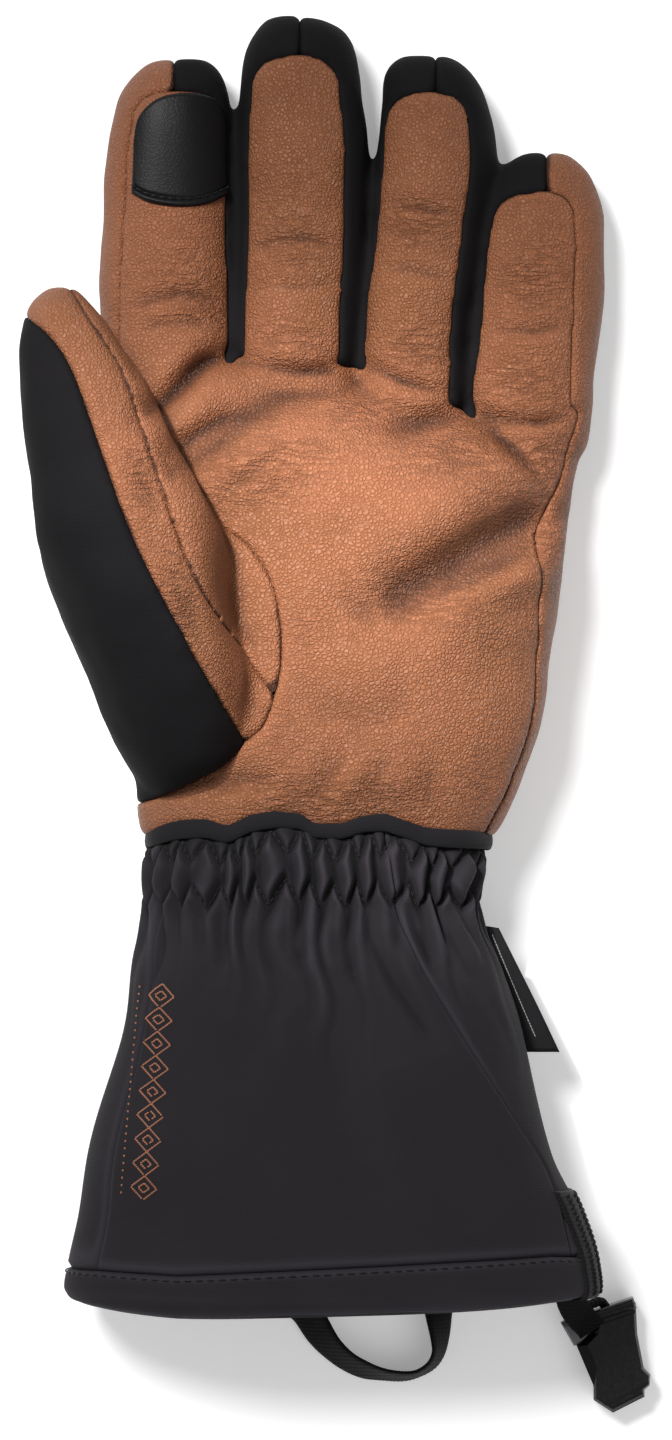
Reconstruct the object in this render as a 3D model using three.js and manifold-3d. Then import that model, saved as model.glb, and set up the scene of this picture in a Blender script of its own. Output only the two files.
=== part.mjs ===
// Heated ski glove for a left hand, lying on its back with the palm up.
// Millimetres. X runs from the thumb side to the little finger side, Y from the cuff to the fingertips,
// and Z from the back of the hand to the palm. The floor is Z = 0, under the middle of the glove.

import * as THREE from 'three';
import { mergeVertices } from 'three/addons/utils/BufferGeometryUtils.js';
import Module from 'manifold-3d';

const wasm = await Module();
wasm.setup();

// Clearances
const seamGap = 0.3;
const paddedWall = 3.0;
const cuffWall = 2.4;
const cutMargin = 6.0;

// Hand
const wristY = -30.6;
const handLength = 115.6;
const palmWidth = 116.0;
const palmThick = 45.0;
const floorSquash = 1.0;
const backSeamHeight = 8.0;
const fingerSeamHeight = 13.0;
const palmSeamHeight = 20.0;
const foldDepth = 3.0;
const foldWidth = 8.0;

// Fingers
const fingerRootY = wristY + 0.8356 * handLength;
const indexReach = 98.5;
const middleReach = 109.0;
const ringReach = 99.2;
const littleReach = 75.2;
const indexWidth = 32.0;
const middleWidth = 31.6;
const ringWidth = 29.0;
const littleWidth = 29.6;
const fingerThick = 26.0;
const littleThick = 24.0;
const indexRootX = -0.3741 * palmWidth;
const middleRootX = -0.0793 * palmWidth;
const ringRootX = 0.169 * palmWidth;
const littleRootX = 0.4224 * palmWidth;
const indexTipX = -0.3534 * palmWidth;
const middleTipX = -0.0828 * palmWidth;
const ringTipX = 0.2103 * palmWidth;
const littleTipX = 0.4483 * palmWidth;
const frontTipMargin = 10.0;

// Touch pad on the index finger
const padLength = 27.0;
const padThick = 1.0;

// Thumb
const thumbLength = 131.0;
const thumbWidth = 46.0;
const thumbHeight = 67.0;
const thumbRootX = -0.3707 * palmWidth;

// Wrist binding
const bindingWidth = 2.2;
const bindingProud = 0.8;

// Cuff
const cuffLength = 115.2;
const cuffWidth = 133.0;
const cuffThick = 61.0;
const gatherCount = 30;
const gatherDepth = 1.5;
const hemHeight = 11.5;
const hemArch = 3.0;
const cuffSeamHeight = 26.0;
const cuffSideSeamHeight = 12.0;

// Side band of the pocket
const bandLength = 31.0;
const bandFrontHeight = 42.0;
const bandBackHeight = 17.0;

// Care label
const labelLength = 32.0;
const labelWidth = 14.0;
const labelThick = 1.4;
const labelHeight = 19.0;

// Wrist loop
const loopWidth = 10.0;
const loopThick = 1.3;
const loopReach = 19.0;
const loopSpan = 40.0;
const loopMiddleX = 0.0602 * cuffWidth;

// Drawcord, its tab and its lock
const cordDiameter = 2.6;
const tabWidth = 8.0;
const tabThick = 1.2;
const lockLength = 28.7;
const lockWidth = 18.5;
const lockThick = 10.0;
const lockMiddleX = 0.5199 * cuffWidth;
const lockRise = 2.3;
const buttonWidth = 5.0;
const buttonThick = 6.0;
const buttonProud = 6.5;
const stemWidth = 3.2;
const stemThick = 3.6;
const stemLength = 7.0;
const buttonTravel = 3.0;

// Rows of the hand, from the web of the fingers down to the wrist.
// at is a share of the hand's length, slope turns the row, and the rest are shares of width and thickness.
const handRows = [
  { at: 1.000, slope: -0.234, left: -0.470, right: 0.500, low: 0.18, high: 0.38 },
  { at: 0.939, slope: -0.230, left: -0.498, right: 0.516, low: 0.00, high: 0.64 },
  { at: 0.870, slope: -0.200, left: -0.500, right: 0.500, low: 0.00, high: 0.79 },
  { at: 0.766, slope: -0.150, left: -0.475, right: 0.488, low: 0.00, high: 0.91 },
  { at: 0.541, slope: -0.050, left: -0.446, right: 0.463, low: 0.00, high: 0.98 },
  { at: 0.299, slope: 0, left: -0.437, right: 0.435, low: 0.00, high: 1.00 },
  { at: 0.178, slope: 0, left: -0.434, right: 0.410, low: 0.00, high: 0.99 },
  { at: 0.000, slope: 0, left: -0.423, right: 0.324, low: 0.00, high: 0.94 },
];

// Rows of every finger, from inside the hand to the tip, as shares of its reach, width and thickness
const fingerRows = [
  { at: 0.00, width: 0.86, low: 0.10, high: 0.96 },
  { at: 0.12, width: 0.98, low: 0.00, high: 1.08 },
  { at: 0.26, width: 1.00, low: 0.00, high: 1.04 },
  { at: 0.62, width: 1.00, low: 0.00, high: 0.99 },
  { at: 0.80, width: 0.98, low: 0.01, high: 0.97 },
  { at: 0.90, width: 0.88, low: 0.06, high: 0.92 },
  { at: 0.96, width: 0.68, low: 0.16, high: 0.82 },
  { at: 1.00, width: 0.36, low: 0.34, high: 0.64 },
];

// Rows of the thumb, from inside the palm to the tip. Shares of its length, width and height.
const thumbRows = [
  { at: 0.000, left: -0.02, right: 0.30, low: 0.14, high: 0.54 },
  { at: 0.145, left: -0.28, right: 0.46, low: 0.03, high: 0.79 },
  { at: 0.260, left: -0.41, right: 0.48, low: 0.06, high: 0.90 },
  { at: 0.367, left: -0.54, right: 0.40, low: 0.12, high: 0.97 },
  { at: 0.474, left: -0.65, right: 0.36, low: 0.24, high: 1.00 },
  { at: 0.556, left: -0.67, right: 0.29, low: 0.42, high: 1.00 },
  { at: 0.721, left: -0.74, right: 0.01, low: 0.46, high: 0.96 },
  { at: 0.866, left: -0.775, right: -0.19, low: 0.42, high: 0.88 },
  { at: 0.931, left: -0.76, right: -0.33, low: 0.44, high: 0.85 },
  { at: 0.969, left: -0.71, right: -0.41, low: 0.48, high: 0.80 },
  { at: 1.000, left: -0.60, right: -0.48, low: 0.57, high: 0.72 },
];

// Rows of the cuff from the binding to the hem, as shares of its length, width and thickness
const cuffRows = [
  { at: 0.000, left: -0.367, right: 0.280, high: 0.68, gather: 0.4 },
  { at: 0.050, left: -0.367, right: 0.276, high: 0.67, gather: 0.9 },
  { at: 0.118, left: -0.364, right: 0.266, high: 0.68, gather: 0.7 },
  { at: 0.170, left: -0.371, right: 0.274, high: 0.73, gather: 0.9 },
  { at: 0.240, left: -0.384, right: 0.300, high: 0.78, gather: 0.5 },
  { at: 0.370, left: -0.400, right: 0.340, high: 0.83, gather: 0.2 },
  { at: 0.660, left: -0.471, right: 0.400, high: 0.94, gather: 0 },
  { at: 0.780, left: -0.487, right: 0.450, high: 0.97, gather: 0 },
  { at: 0.900, left: -0.508, right: 0.482, high: 1.00, gather: 0 },
  { at: 0.955, left: -0.513, right: 0.486, high: 1.00, gather: 0 },
  { at: 1.000, left: -0.498, right: 0.478, high: 0.97, gather: 0 },
];

// Folds pressed into the palm. Places are shares of the palm's width and the hand's length.
const palmFolds = [
  { fromX: -0.36, fromY: 0.72, toX: 0.02, toY: 0.97, depth: 0.9, width: 1.0 },
  { fromX: 0.36, fromY: 0.60, toX: 0.10, toY: 0.53, depth: 1.0, width: 1.4 },
  { fromX: 0.28, fromY: 0.86, toX: 0.46, toY: 0.70, depth: 0.6, width: 0.8 },
  { fromX: -0.20, fromY: 0.94, toX: 0.06, toY: 0.92, depth: 0.5, width: 0.7 },
];

// Outer seam of the thumb's gusset over the palm, as shares of the palm's width and the hand's length
const gussetSeam = [
  { across: -0.262, along: 0.678 },
  { across: -0.201, along: 0.637 },
  { across: -0.158, along: 0.583 },
  { across: -0.130, along: 0.507 },
  { across: -0.122, along: 0.410 },
  { across: -0.128, along: 0.338 },
  { across: -0.158, along: 0.247 },
  { across: -0.199, along: 0.211 },
  { across: -0.240, along: 0.164 },
  { across: -0.310, along: 0.115 },
  { across: -0.375, along: 0.084 },
  { across: -0.470, along: 0.070 },
];

// Seam along the middle of the thumb's palm side, from the tip to the gusset
const thumbCentreSeam = [
  { across: -0.575, along: 1.180 },
  { across: -0.531, along: 1.105 },
  { across: -0.488, along: 1.043 },
  { across: -0.454, along: 0.977 },
  { across: -0.378, along: 0.753 },
  { across: -0.311, along: 0.567 },
  { across: -0.250, along: 0.463 },
  { across: -0.202, along: 0.402 },
  { across: -0.143, along: 0.314 },
];

// Edge of the dark back of the thumb, from the tip to the gusset
const thumbBackSeam = [
  { across: -0.680, along: 1.130 },
  { across: -0.613, along: 1.073 },
  { across: -0.566, along: 1.002 },
  { across: -0.516, along: 0.867 },
  { across: -0.439, along: 0.653 },
  { across: -0.344, along: 0.463 },
  { across: -0.251, along: 0.294 },
  { across: -0.195, along: 0.200 },
];

// How far the palm's seam on the little finger side lies inside the outline
const palmSideSeam = [
  { along: 0.940, inset: 0.069 },
  { along: 0.793, inset: 0.030 },
  { along: 0.620, inset: 0.059 },
  { along: 0.464, inset: 0.034 },
  { along: 0.265, inset: 0.028 },
  { along: 0.044, inset: 0.022 },
];

// Stops of the wrist loop: shares of its span, of how far it hangs out and of its width.
// edge is 0 where the webbing lies flat and 1 where it stands on edge.
const loopStops = [
  { across: -0.47, along: -0.37, rise: 0.00, edge: 0.00 },
  { across: -0.42, along: 0.05, rise: 0.00, edge: 0.00 },
  { across: -0.30, along: 0.45, rise: 0.20, edge: 0.35 },
  { across: -0.05, along: 0.90, rise: 0.20, edge: 0.85 },
  { across: 0.28, along: 0.95, rise: 0.20, edge: 1.00 },
  { across: 0.48, along: 0.60, rise: 0.20, edge: 0.85 },
  { across: 0.42, along: 0.05, rise: 0.26, edge: 0.50 },
  { across: 0.40, along: -0.37, rise: 0.20, edge: 0.15 },
];

// Stops of the lock's tab: shares of the lock's width from its middle and of its length from the hem
const tabStops = [
  { across: -0.88, along: -0.23, rise: 0.36 },
  { across: -0.80, along: 0.00, rise: 0.30 },
  { across: -0.56, along: 0.17, rise: 0.04 },
  { across: -0.32, along: 0.35, rise: 0.00 },
];

// Outline of the cord lock, as shares of its width about its middle and of its length from the top
const lockOutline = [
  { across: -0.31, along: 0.12 },
  { across: 0.24, along: 0.00 },
  { across: 0.30, along: 0.04 },
  { across: 0.32, along: 0.31 },
  { across: 0.41, along: 0.61 },
  { across: 0.50, along: 0.67 },
  { across: 0.49, along: 0.76 },
  { across: 0.42, along: 0.80 },
  { across: 0.42, along: 0.86 },
  { across: -0.01, along: 1.00 },
  { across: -0.27, along: 0.89 },
  { across: -0.27, along: 0.77 },
  { across: -0.50, along: 0.42 },
  { across: -0.35, along: 0.32 },
];

const fingers = [
  { name: 'index', rootX: indexRootX, tipX: indexTipX, reach: indexReach, width: indexWidth,
    thick: fingerThick, seamLeft: 0.20, seamRight: 0.965 },
  { name: 'middle', rootX: middleRootX, tipX: middleTipX, reach: middleReach, width: middleWidth,
    thick: fingerThick, seamLeft: 0.09, seamRight: 0.80 },
  { name: 'ring', rootX: ringRootX, tipX: ringTipX, reach: ringReach, width: ringWidth,
    thick: fingerThick, seamLeft: 0.05, seamRight: 0.80 },
  { name: 'little', rootX: littleRootX, tipX: littleTipX, reach: littleReach, width: littleWidth,
    thick: littleThick, seamLeft: 0.07, seamRight: 0.74 },
];

const leather = new THREE.MeshStandardMaterial({ color: 0xb9784c, roughness: 0.55, metalness: 0 });
const thumbLeather = new THREE.MeshStandardMaterial({ color: 0xb06f44, roughness: 0.55, metalness: 0 });
const softshell = new THREE.MeshStandardMaterial({ color: 0x242226, roughness: 0.85, metalness: 0 });
const cuffCloth = new THREE.MeshStandardMaterial({ color: 0x332f35, roughness: 0.9, metalness: 0 });
const padLeather = new THREE.MeshStandardMaterial({ color: 0x17181b, roughness: 0.4, metalness: 0 });
const bindingTape = new THREE.MeshStandardMaterial({ color: 0x1b1a1d, roughness: 0.8, metalness: 0 });
const webbing = new THREE.MeshStandardMaterial({ color: 0x151517, roughness: 0.8, metalness: 0 });
const labelCloth = new THREE.MeshStandardMaterial({ color: 0x161618, roughness: 0.6, metalness: 0 });
const blackPlastic = new THREE.MeshStandardMaterial({ color: 0x151518, roughness: 0.35, metalness: 0 });
const greyPlastic = new THREE.MeshStandardMaterial({ color: 0x5c5c5e, roughness: 0.5, metalness: 0 });

const glove = new THREE.Group();

// Solids

function solidOf(geometry) {
  const bare = geometry.clone();
  bare.deleteAttribute('normal');
  bare.deleteAttribute('uv');
  const merged = mergeVertices(bare, 1e-5);
  return new wasm.Manifold(new wasm.Mesh({
    numProp: 3,
    vertProperties: new Float32Array(merged.attributes.position.array),
    triVerts: new Uint32Array(merged.index.array),
  }));
}

function addPiece(name, solid, material) {
  const cut = solid.getMesh();
  const geometry = new THREE.BufferGeometry();
  geometry.setAttribute('position', new THREE.BufferAttribute(new Float32Array(cut.vertProperties), 3));
  geometry.setIndex(new THREE.BufferAttribute(new Uint32Array(cut.triVerts), 1));
  geometry.computeVertexNormals();
  const mesh = new THREE.Mesh(geometry, material);
  mesh.name = name;
  glove.add(mesh);
}

// A closed body through rings of points, with a fan at each end
function loft(rings) {
  const sides = rings[0].length;
  const positions = [];
  const faces = [];
  rings.forEach((ring) => ring.forEach((point) => positions.push(point.x, point.y, point.z)));
  for (let row = 0; row + 1 < rings.length; row += 1) {
    for (let side = 0; side < sides; side += 1) {
      const next = (side + 1) % sides;
      const a = row * sides + side;
      const b = row * sides + next;
      const c = (row + 1) * sides + next;
      const d = (row + 1) * sides + side;
      faces.push(a, b, c, a, c, d);
    }
  }
  [0, rings.length - 1].forEach((row) => {
    const centre = new THREE.Vector3();
    rings[row].forEach((point) => centre.add(point));
    centre.divideScalar(sides);
    const hub = positions.length / 3;
    positions.push(centre.x, centre.y, centre.z);
    for (let side = 0; side < sides; side += 1) {
      const a = row * sides + side;
      const b = row * sides + ((side + 1) % sides);
      if (row === 0) faces.push(hub, b, a);
      else faces.push(hub, a, b);
    }
  });
  const geometry = new THREE.BufferGeometry();
  geometry.setAttribute('position', new THREE.BufferAttribute(new Float32Array(positions), 3));
  geometry.setIndex(faces);
  return solidOf(volumeOf(positions, faces) < 0 ? turnedInsideOut(geometry, faces) : geometry);
}

function volumeOf(positions, faces) {
  let sum = 0;
  const corner = (index) => new THREE.Vector3().fromArray(positions, index * 3);
  for (let face = 0; face < faces.length; face += 3) {
    sum += corner(faces[face]).dot(corner(faces[face + 1]).cross(corner(faces[face + 2])));
  }
  return sum;
}

function turnedInsideOut(geometry, faces) {
  geometry.setIndex(faces.slice().reverse());
  return geometry;
}

function block(minX, maxX, minY, maxY, minZ, maxZ) {
  const box = new THREE.BoxGeometry(maxX - minX, maxY - minY, maxZ - minZ);
  box.translate((minX + maxX) / 2, (minY + maxY) / 2, (minZ + maxZ) / 2);
  return solidOf(box);
}

// A straight prism over an outline in X and Y
function prism(outline, fromZ, toZ) {
  const shape = new THREE.Shape(outline.map((point) => new THREE.Vector2(point.x, point.y)));
  const body = new THREE.ExtrudeGeometry(shape, { depth: toZ - fromZ, bevelEnabled: false });
  body.translate(0, 0, fromZ);
  return solidOf(body);
}

// The same outline with every side moved outwards by a distance
function grown(outline, distance) {
  const anticlockwise = THREE.ShapeUtils.area(outline) > 0 ? outline : outline.slice().reverse();
  return anticlockwise.map((point, index) => {
    const count = anticlockwise.length;
    const before = anticlockwise[(index + count - 1) % count];
    const after = anticlockwise[(index + 1) % count];
    const sideIn = new THREE.Vector2().subVectors(point, before).normalize();
    const sideOut = new THREE.Vector2().subVectors(after, point).normalize();
    const normal = new THREE.Vector2(sideIn.y + sideOut.y, -sideIn.x - sideOut.x).normalize();
    const lean = Math.max(0.5, normal.x * sideIn.y - normal.y * sideIn.x);
    return new THREE.Vector2().copy(point).addScaledVector(normal, distance / lean);
  });
}

// Rings of the padded forms

const roundPower = 2.3;
const flatPower = 3.6;
const handSides = 28;
const handInnerSides = 16;
const fingerSides = 12;
const fingerInnerSides = 8;
const thumbSides = 12;
const thumbInnerSides = 8;

function signedPower(value, power) {
  return Math.sign(value) * Math.abs(value) ** power;
}

// One ring: rounder towards the palm, flatter where it lies on the floor
function ringOf(row, sides, inset) {
  const middle = (row.left + row.right) / 2;
  const width = (row.right - row.left) / 2;
  const centre = (row.low + row.high) / 2;
  const height = (row.high - row.low) / 2;
  const halfWidth = Math.max(width - inset, width * 0.2);
  const halfHeight = Math.max(height - inset, height * 0.2);
  const points = [];
  for (let side = 0; side < sides; side += 1) {
    const turn = (2 * Math.PI * (side + 0.5)) / sides;
    const shape = Math.sin(turn) > 0 ? roundPower : flatPower;
    const across = signedPower(Math.cos(turn), 2 / shape);
    const up = signedPower(Math.sin(turn), 2 / shape);
    const x = middle + halfWidth * across;
    const gather = (row.gather ?? 0) * (side % 2 === 0 ? 1 : -1) * Math.max(0.15, Math.sin(turn));
    points.push(new THREE.Vector3(
      x + gather * Math.cos(turn),
      row.y + (row.slope ?? 0) * x + (row.arch ?? 0) * across ** 4,
      centre + halfHeight * up + gather * Math.sin(turn),
    ));
  }
  return points;
}

function handForm(inset) {
  const rows = handRows.map((row) => ({
    y: wristY + row.at * (handLength - inset),
    slope: row.slope,
    left: row.left * palmWidth,
    right: row.right * palmWidth,
    low: row.low * palmThick - floorSquash,
    high: row.high * palmThick,
  }));
  if (inset > 0) rows.push({ ...rows[rows.length - 1], y: wristY - cutMargin });
  return rows.map((row) => ringOf(row, inset > 0 ? handInnerSides : handSides, inset));
}

function fingerRowsOf(finger, inset) {
  return fingerRows.map((row) => {
    const middle = THREE.MathUtils.lerp(finger.rootX, finger.tipX, row.at);
    const halfWidth = (row.width * finger.width) / 2;
    return {
      y: fingerRootY + row.at * (finger.reach - inset),
      left: middle - halfWidth,
      right: middle + halfWidth,
      low: row.low * finger.thick - floorSquash,
      high: row.high * finger.thick,
    };
  });
}

function thumbRowsOf(inset) {
  return thumbRows.map((row) => ({
    y: wristY + palmThick * 0.12 + row.at * (thumbLength - inset),
    left: thumbRootX + row.left * thumbWidth,
    right: thumbRootX + row.right * thumbWidth,
    low: row.low * thumbHeight,
    high: row.high * thumbHeight,
  }));
}

function palmPoint(share) {
  return new THREE.Vector2(share.across * palmWidth, wristY + share.along * handLength);
}

// Presses the palm's folds into the front of a form
function pressFolds(rings) {
  rings.forEach((ring) => ring.forEach((point) => {
    if (point.z < palmThick * 0.5) return;
    palmFolds.forEach((fold) => {
      const from = palmPoint({ across: fold.fromX, along: fold.fromY });
      const to = palmPoint({ across: fold.toX, along: fold.toY });
      const line = to.clone().sub(from);
      const here = new THREE.Vector2(point.x, point.y).sub(from);
      const share = THREE.MathUtils.clamp(here.dot(line) / line.lengthSq(), 0, 1);
      const away = here.sub(line.multiplyScalar(share)).length() / (fold.width * foldWidth);
      point.z -= fold.depth * foldDepth * Math.exp(-away * away);
    });
  }));
  return rings;
}

function joined(solids) {
  return solids.reduce((sum, solid) => sum.add(solid));
}

// The padded hand: one hollow form of palm, fingers and thumb, flattened on the floor
const floorSlab = block(-cuffWidth, cuffWidth, -cuffLength * 2, handLength * 2, -4 * cutMargin, 0);

const outerHand = joined([
  loft(pressFolds(handForm(0))),
  ...fingers.map((finger) => loft(fingerRowsOf(finger, 0).map((row) => ringOf(row, fingerSides, 0)))),
  loft(thumbRowsOf(0).map((row) => ringOf(row, thumbSides, 0))),
]);
const innerHand = joined([
  loft(pressFolds(handForm(paddedWall))),
  ...fingers.map((finger) => loft(
    fingerRowsOf(finger, paddedWall).map((row) => ringOf(row, fingerInnerSides, paddedWall)),
  )),
  loft(thumbRowsOf(paddedWall).map((row) => ringOf(row, thumbInnerSides, paddedWall))),
]);
const handShell = outerHand.subtract(innerHand).subtract(floorSlab);

// Pieces of the hand are cut from its shell one after another, each cut a seam gap wider than the piece
const reach = 2 * palmWidth;
let left = handShell;

function take(region, widerRegion) {
  const piece = left.intersect(region);
  left = left.subtract(widerRegion);
  return piece;
}

// Back of the hand and fingers
const backPanel = take(
  block(-reach, reach, -reach, reach, -cutMargin, backSeamHeight),
  block(-reach, reach, -reach, reach, -cutMargin, backSeamHeight + seamGap),
);
addPiece('back_panel', backPanel, softshell);

// Thumb: everything inside the gusset's seam, and above it whatever lies within the thumb's own form
const gussetLine = gussetSeam.map(palmPoint);
const gussetTop = gussetLine[0];
const gussetOutline = [
  ...gussetLine,
  new THREE.Vector2(-palmWidth, gussetLine[gussetLine.length - 1].y),
  new THREE.Vector2(-palmWidth, gussetTop.y),
];

function thumbRegion(extra) {
  const own = thumbRowsOf(0)
    .filter((row) => row.y > gussetTop.y - cutMargin * 2)
    .map((row) => ringOf(row, thumbSides, -0.5 - extra));
  const tip = own[own.length - 1].map((point) => point.clone().setY(point.y + 1 + extra));
  return prism(grown(gussetOutline, extra), backSeamHeight / 2, reach).add(loft([...own, tip]));
}

let thumb = take(thumbRegion(0), thumbRegion(seamGap));

function cutThumb(line, extra) {
  const points = line.map(palmPoint);
  const first = points[0];
  const last = points[points.length - 1];
  const outline = [
    new THREE.Vector2(first.x, handLength * 2),
    ...points,
    new THREE.Vector2(last.x + cutMargin, last.y - cutMargin),
    new THREE.Vector2(last.x + cutMargin, -reach),
    new THREE.Vector2(-reach, -reach),
    new THREE.Vector2(-reach, handLength * 2),
  ];
  return prism(grown(outline, extra), -cutMargin, reach);
}

addPiece('thumb_back_panel', thumb.intersect(cutThumb(thumbBackSeam, 0)), softshell);
thumb = thumb.subtract(cutThumb(thumbBackSeam, seamGap));
addPiece('thumb_front_panel', thumb.intersect(cutThumb(thumbCentreSeam, 0)), thumbLeather);
thumb = thumb.subtract(cutThumb(thumbCentreSeam, seamGap));
addPiece('thumb_inner_panel', thumb, thumbLeather);

// Front of each finger inside its two seams, with a round top
function edgeAt(rows, y, side) {
  for (let row = 0; row + 1 < rows.length; row += 1) {
    if (y <= rows[row + 1].y || row + 2 === rows.length) {
      const share = (y - rows[row].y) / (rows[row + 1].y - rows[row].y);
      return THREE.MathUtils.lerp(rows[row][side], rows[row + 1][side], share);
    }
  }
  return 0;
}

function frontOutline(finger) {
  const rows = fingerRowsOf(finger, 0);
  const tipY = fingerRootY + finger.reach;
  const topY = tipY - frontTipMargin;
  const archStart = topY - finger.width * 0.25;
  const seamX = (y, share) => THREE.MathUtils.lerp(edgeAt(rows, y, 'left'), edgeAt(rows, y, 'right'), share);
  const stations = [-0.05, 0.25, 0.5, 0.75, 1].map((share) => (
    THREE.MathUtils.lerp(fingerRootY, archStart, share)));
  const up = stations.map((y) => new THREE.Vector2(seamX(y, finger.seamLeft), y));
  const down = stations.slice().reverse().map((y) => new THREE.Vector2(seamX(y, finger.seamRight), y));
  const middleX = (up[4].x + down[0].x) / 2;
  const halfWidth = (down[0].x - up[4].x) / 2;
  const arch = [1, 2, 3, 4].map((step) => {
    const turn = (Math.PI * step) / 5;
    return new THREE.Vector2(
      middleX - halfWidth * signedPower(Math.cos(turn), 0.6),
      archStart + (topY - archStart) * Math.sin(turn) ** 0.7,
    );
  });
  return [...up, ...arch, ...down];
}

const handOuterRows = handRows
  .map((row) => ({ y: wristY + row.at * handLength, right: row.right * palmWidth }))
  .reverse();
const palmRight = palmSideSeam.map((row) => {
  const y = wristY + row.along * handLength;
  return new THREE.Vector2(edgeAt(handOuterRows, y, 'right') - row.inset * palmWidth, y);
});
const indexRows = fingerRowsOf(fingers[0], 0);
const palmOutline = [
  new THREE.Vector2(edgeAt(indexRows, fingerRootY, 'left') + indexWidth * 0.2, fingerRootY + cutMargin),
  new THREE.Vector2(-0.43 * palmWidth, gussetTop.y - cutMargin),
  new THREE.Vector2(-0.43 * palmWidth, wristY - cutMargin),
  new THREE.Vector2(0.29 * palmWidth, wristY - cutMargin),
  ...palmRight.reverse(),
  new THREE.Vector2(palmRight[palmRight.length - 1].x, fingerRootY + cutMargin * 1.5),
  new THREE.Vector2(0, fingerRootY + cutMargin * 2.5),
];

function frontRegion(extra) {
  const strips = fingers.map((finger) => (
    prism(grown(frontOutline(finger), extra), fingerSeamHeight - extra, reach)));
  const palm = prism(grown(palmOutline, extra), palmSeamHeight - extra, reach);
  const heel = block(-reach, -0.2 * palmWidth, -reach, gussetLine[8].y, 0, reach);
  return joined([...strips, palm, heel]);
}

addPiece('palm_panel', take(frontRegion(0), frontRegion(seamGap)), leather);

// Side strips between front and back, divided along the middle of each fingertip
function axisOutline(from, to) {
  const top = fingerRootY + middleReach * 1.2;
  const low = from && to ? fingerRootY - cutMargin : wristY - cutMargin;
  const bend = fingerRootY - cutMargin;
  const edge = (finger) => [
    new THREE.Vector2(finger.tipX, top),
    new THREE.Vector2(finger.tipX, fingerRootY + finger.reach * 0.5),
    new THREE.Vector2(finger.rootX, bend),
  ];
  const outer = (side) => [
    new THREE.Vector2(side * reach, top),
    new THREE.Vector2(side * reach, low),
    new THREE.Vector2(0, low),
    new THREE.Vector2(0, bend),
  ];
  if (!from) return [...outer(-1), ...edge(to).reverse()];
  if (!to) return [...outer(1), ...edge(from).reverse()];
  return [...edge(from), ...edge(to).reverse()];
}

const strips = [
  { name: 'index_side_panel', from: null, to: fingers[0], material: leather },
  { name: 'fourchette_index_middle', from: fingers[0], to: fingers[1], material: softshell },
  { name: 'fourchette_middle_ring', from: fingers[1], to: fingers[2], material: softshell },
  { name: 'fourchette_ring_little', from: fingers[2], to: fingers[3], material: softshell },
  { name: 'little_side_panel', from: fingers[3], to: null, material: leather },
];
strips.forEach((strip) => {
  const outline = grown(axisOutline(strip.from, strip.to), -seamGap / 2);
  addPiece(strip.name, left.intersect(prism(outline, -cutMargin, reach)), strip.material);
});

// Smooth pad on the tip of the index finger, one layer over its front
const index = fingers[0];
const padTop = fingerRootY + index.reach - frontTipMargin;
const padRows = (out) => fingerRowsOf(index, 0).map((row) => ringOf(row, fingerSides, -out));
const padLayer = loft(padRows(seamGap + padThick)).subtract(loft(padRows(seamGap)));
const padArea = prism(frontOutline(index), fingerSeamHeight * 1.2, reach)
  .intersect(block(-reach, 0, padTop - padLength, reach, -cutMargin, reach));
addPiece('touch_pad', padLayer.intersect(padArea), padLeather);

// Cuff and the binding above it

const bindingTop = wristY - seamGap;
const cuffTop = bindingTop - bindingWidth - seamGap;

function cuffRowsOf() {
  return cuffRows.map((row) => ({
    y: cuffTop - row.at * cuffLength,
    left: row.left * cuffWidth,
    right: row.right * cuffWidth,
    low: -floorSquash,
    high: row.high * cuffThick,
    gather: row.gather * gatherDepth,
    arch: row.at > 0.9 ? hemArch * (row.at - 0.9) * 10 : 0,
  }));
}

const cuffSides = 2 * gatherCount;
const cuffInnerSides = 20;
const bindingRow = (y, out) => {
  const row = cuffRowsOf()[0];
  return ringOf({ ...row, y, gather: 0, high: row.high + out, left: row.left - out, right: row.right + out },
    cuffSides, 0);
};
const bindingOuter = loft([
  bindingRow(bindingTop, 0.2 * bindingProud),
  bindingRow(bindingTop - 0.5 * bindingWidth, bindingProud),
  bindingRow(bindingTop - bindingWidth, 0.2 * bindingProud),
]);
const bindingInner = loft([
  bindingRow(bindingTop + cutMargin, -paddedWall),
  bindingRow(bindingTop - bindingWidth - cutMargin, -paddedWall),
]);
addPiece('wrist_binding', bindingOuter.subtract(bindingInner).subtract(floorSlab), bindingTape);

const cuffOuter = loft(cuffRowsOf().map((row) => ringOf(row, cuffSides, 0)));
const innerRows = cuffRowsOf().filter((row, place) => place % 2 === 0).map((row) => ({ ...row, gather: 0 }));
const cuffInner = loft([
  { ...innerRows[0], y: cuffTop + cutMargin },
  ...innerRows,
  { ...innerRows[innerRows.length - 1], y: cuffTop - cuffLength - cutMargin },
].map((row) => ringOf(row, cuffInnerSides, cuffWall)));
left = cuffOuter.subtract(cuffInner).subtract(floorSlab);

// Ribbed band of the side pocket, low on the little finger side
const cuffRight = 0.486 * cuffWidth;
const bandTop = cuffTop - cuffLength + bandLength;
const bandOutline = [
  new THREE.Vector2(cuffRight * 0.865, bandTop),
  new THREE.Vector2(cuffRight * 0.925, bandTop - bandLength * 0.6),
  new THREE.Vector2(cuffRight * 0.955, cuffTop - cuffLength - cutMargin),
  new THREE.Vector2(reach, cuffTop - cuffLength - cutMargin),
  new THREE.Vector2(reach, bandTop),
];
addPiece('side_band', take(
  prism(bandOutline, bandBackHeight, bandFrontHeight),
  prism(grown(bandOutline, seamGap), bandBackHeight - seamGap, bandFrontHeight + seamGap),
), webbing);

const hemTop = cuffTop - cuffLength + hemHeight;
addPiece('cuff_hem', take(
  block(-reach, reach, -reach, hemTop, -cutMargin, reach),
  block(-reach, reach, -reach, hemTop + seamGap, -cutMargin, reach),
), cuffCloth);

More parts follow.
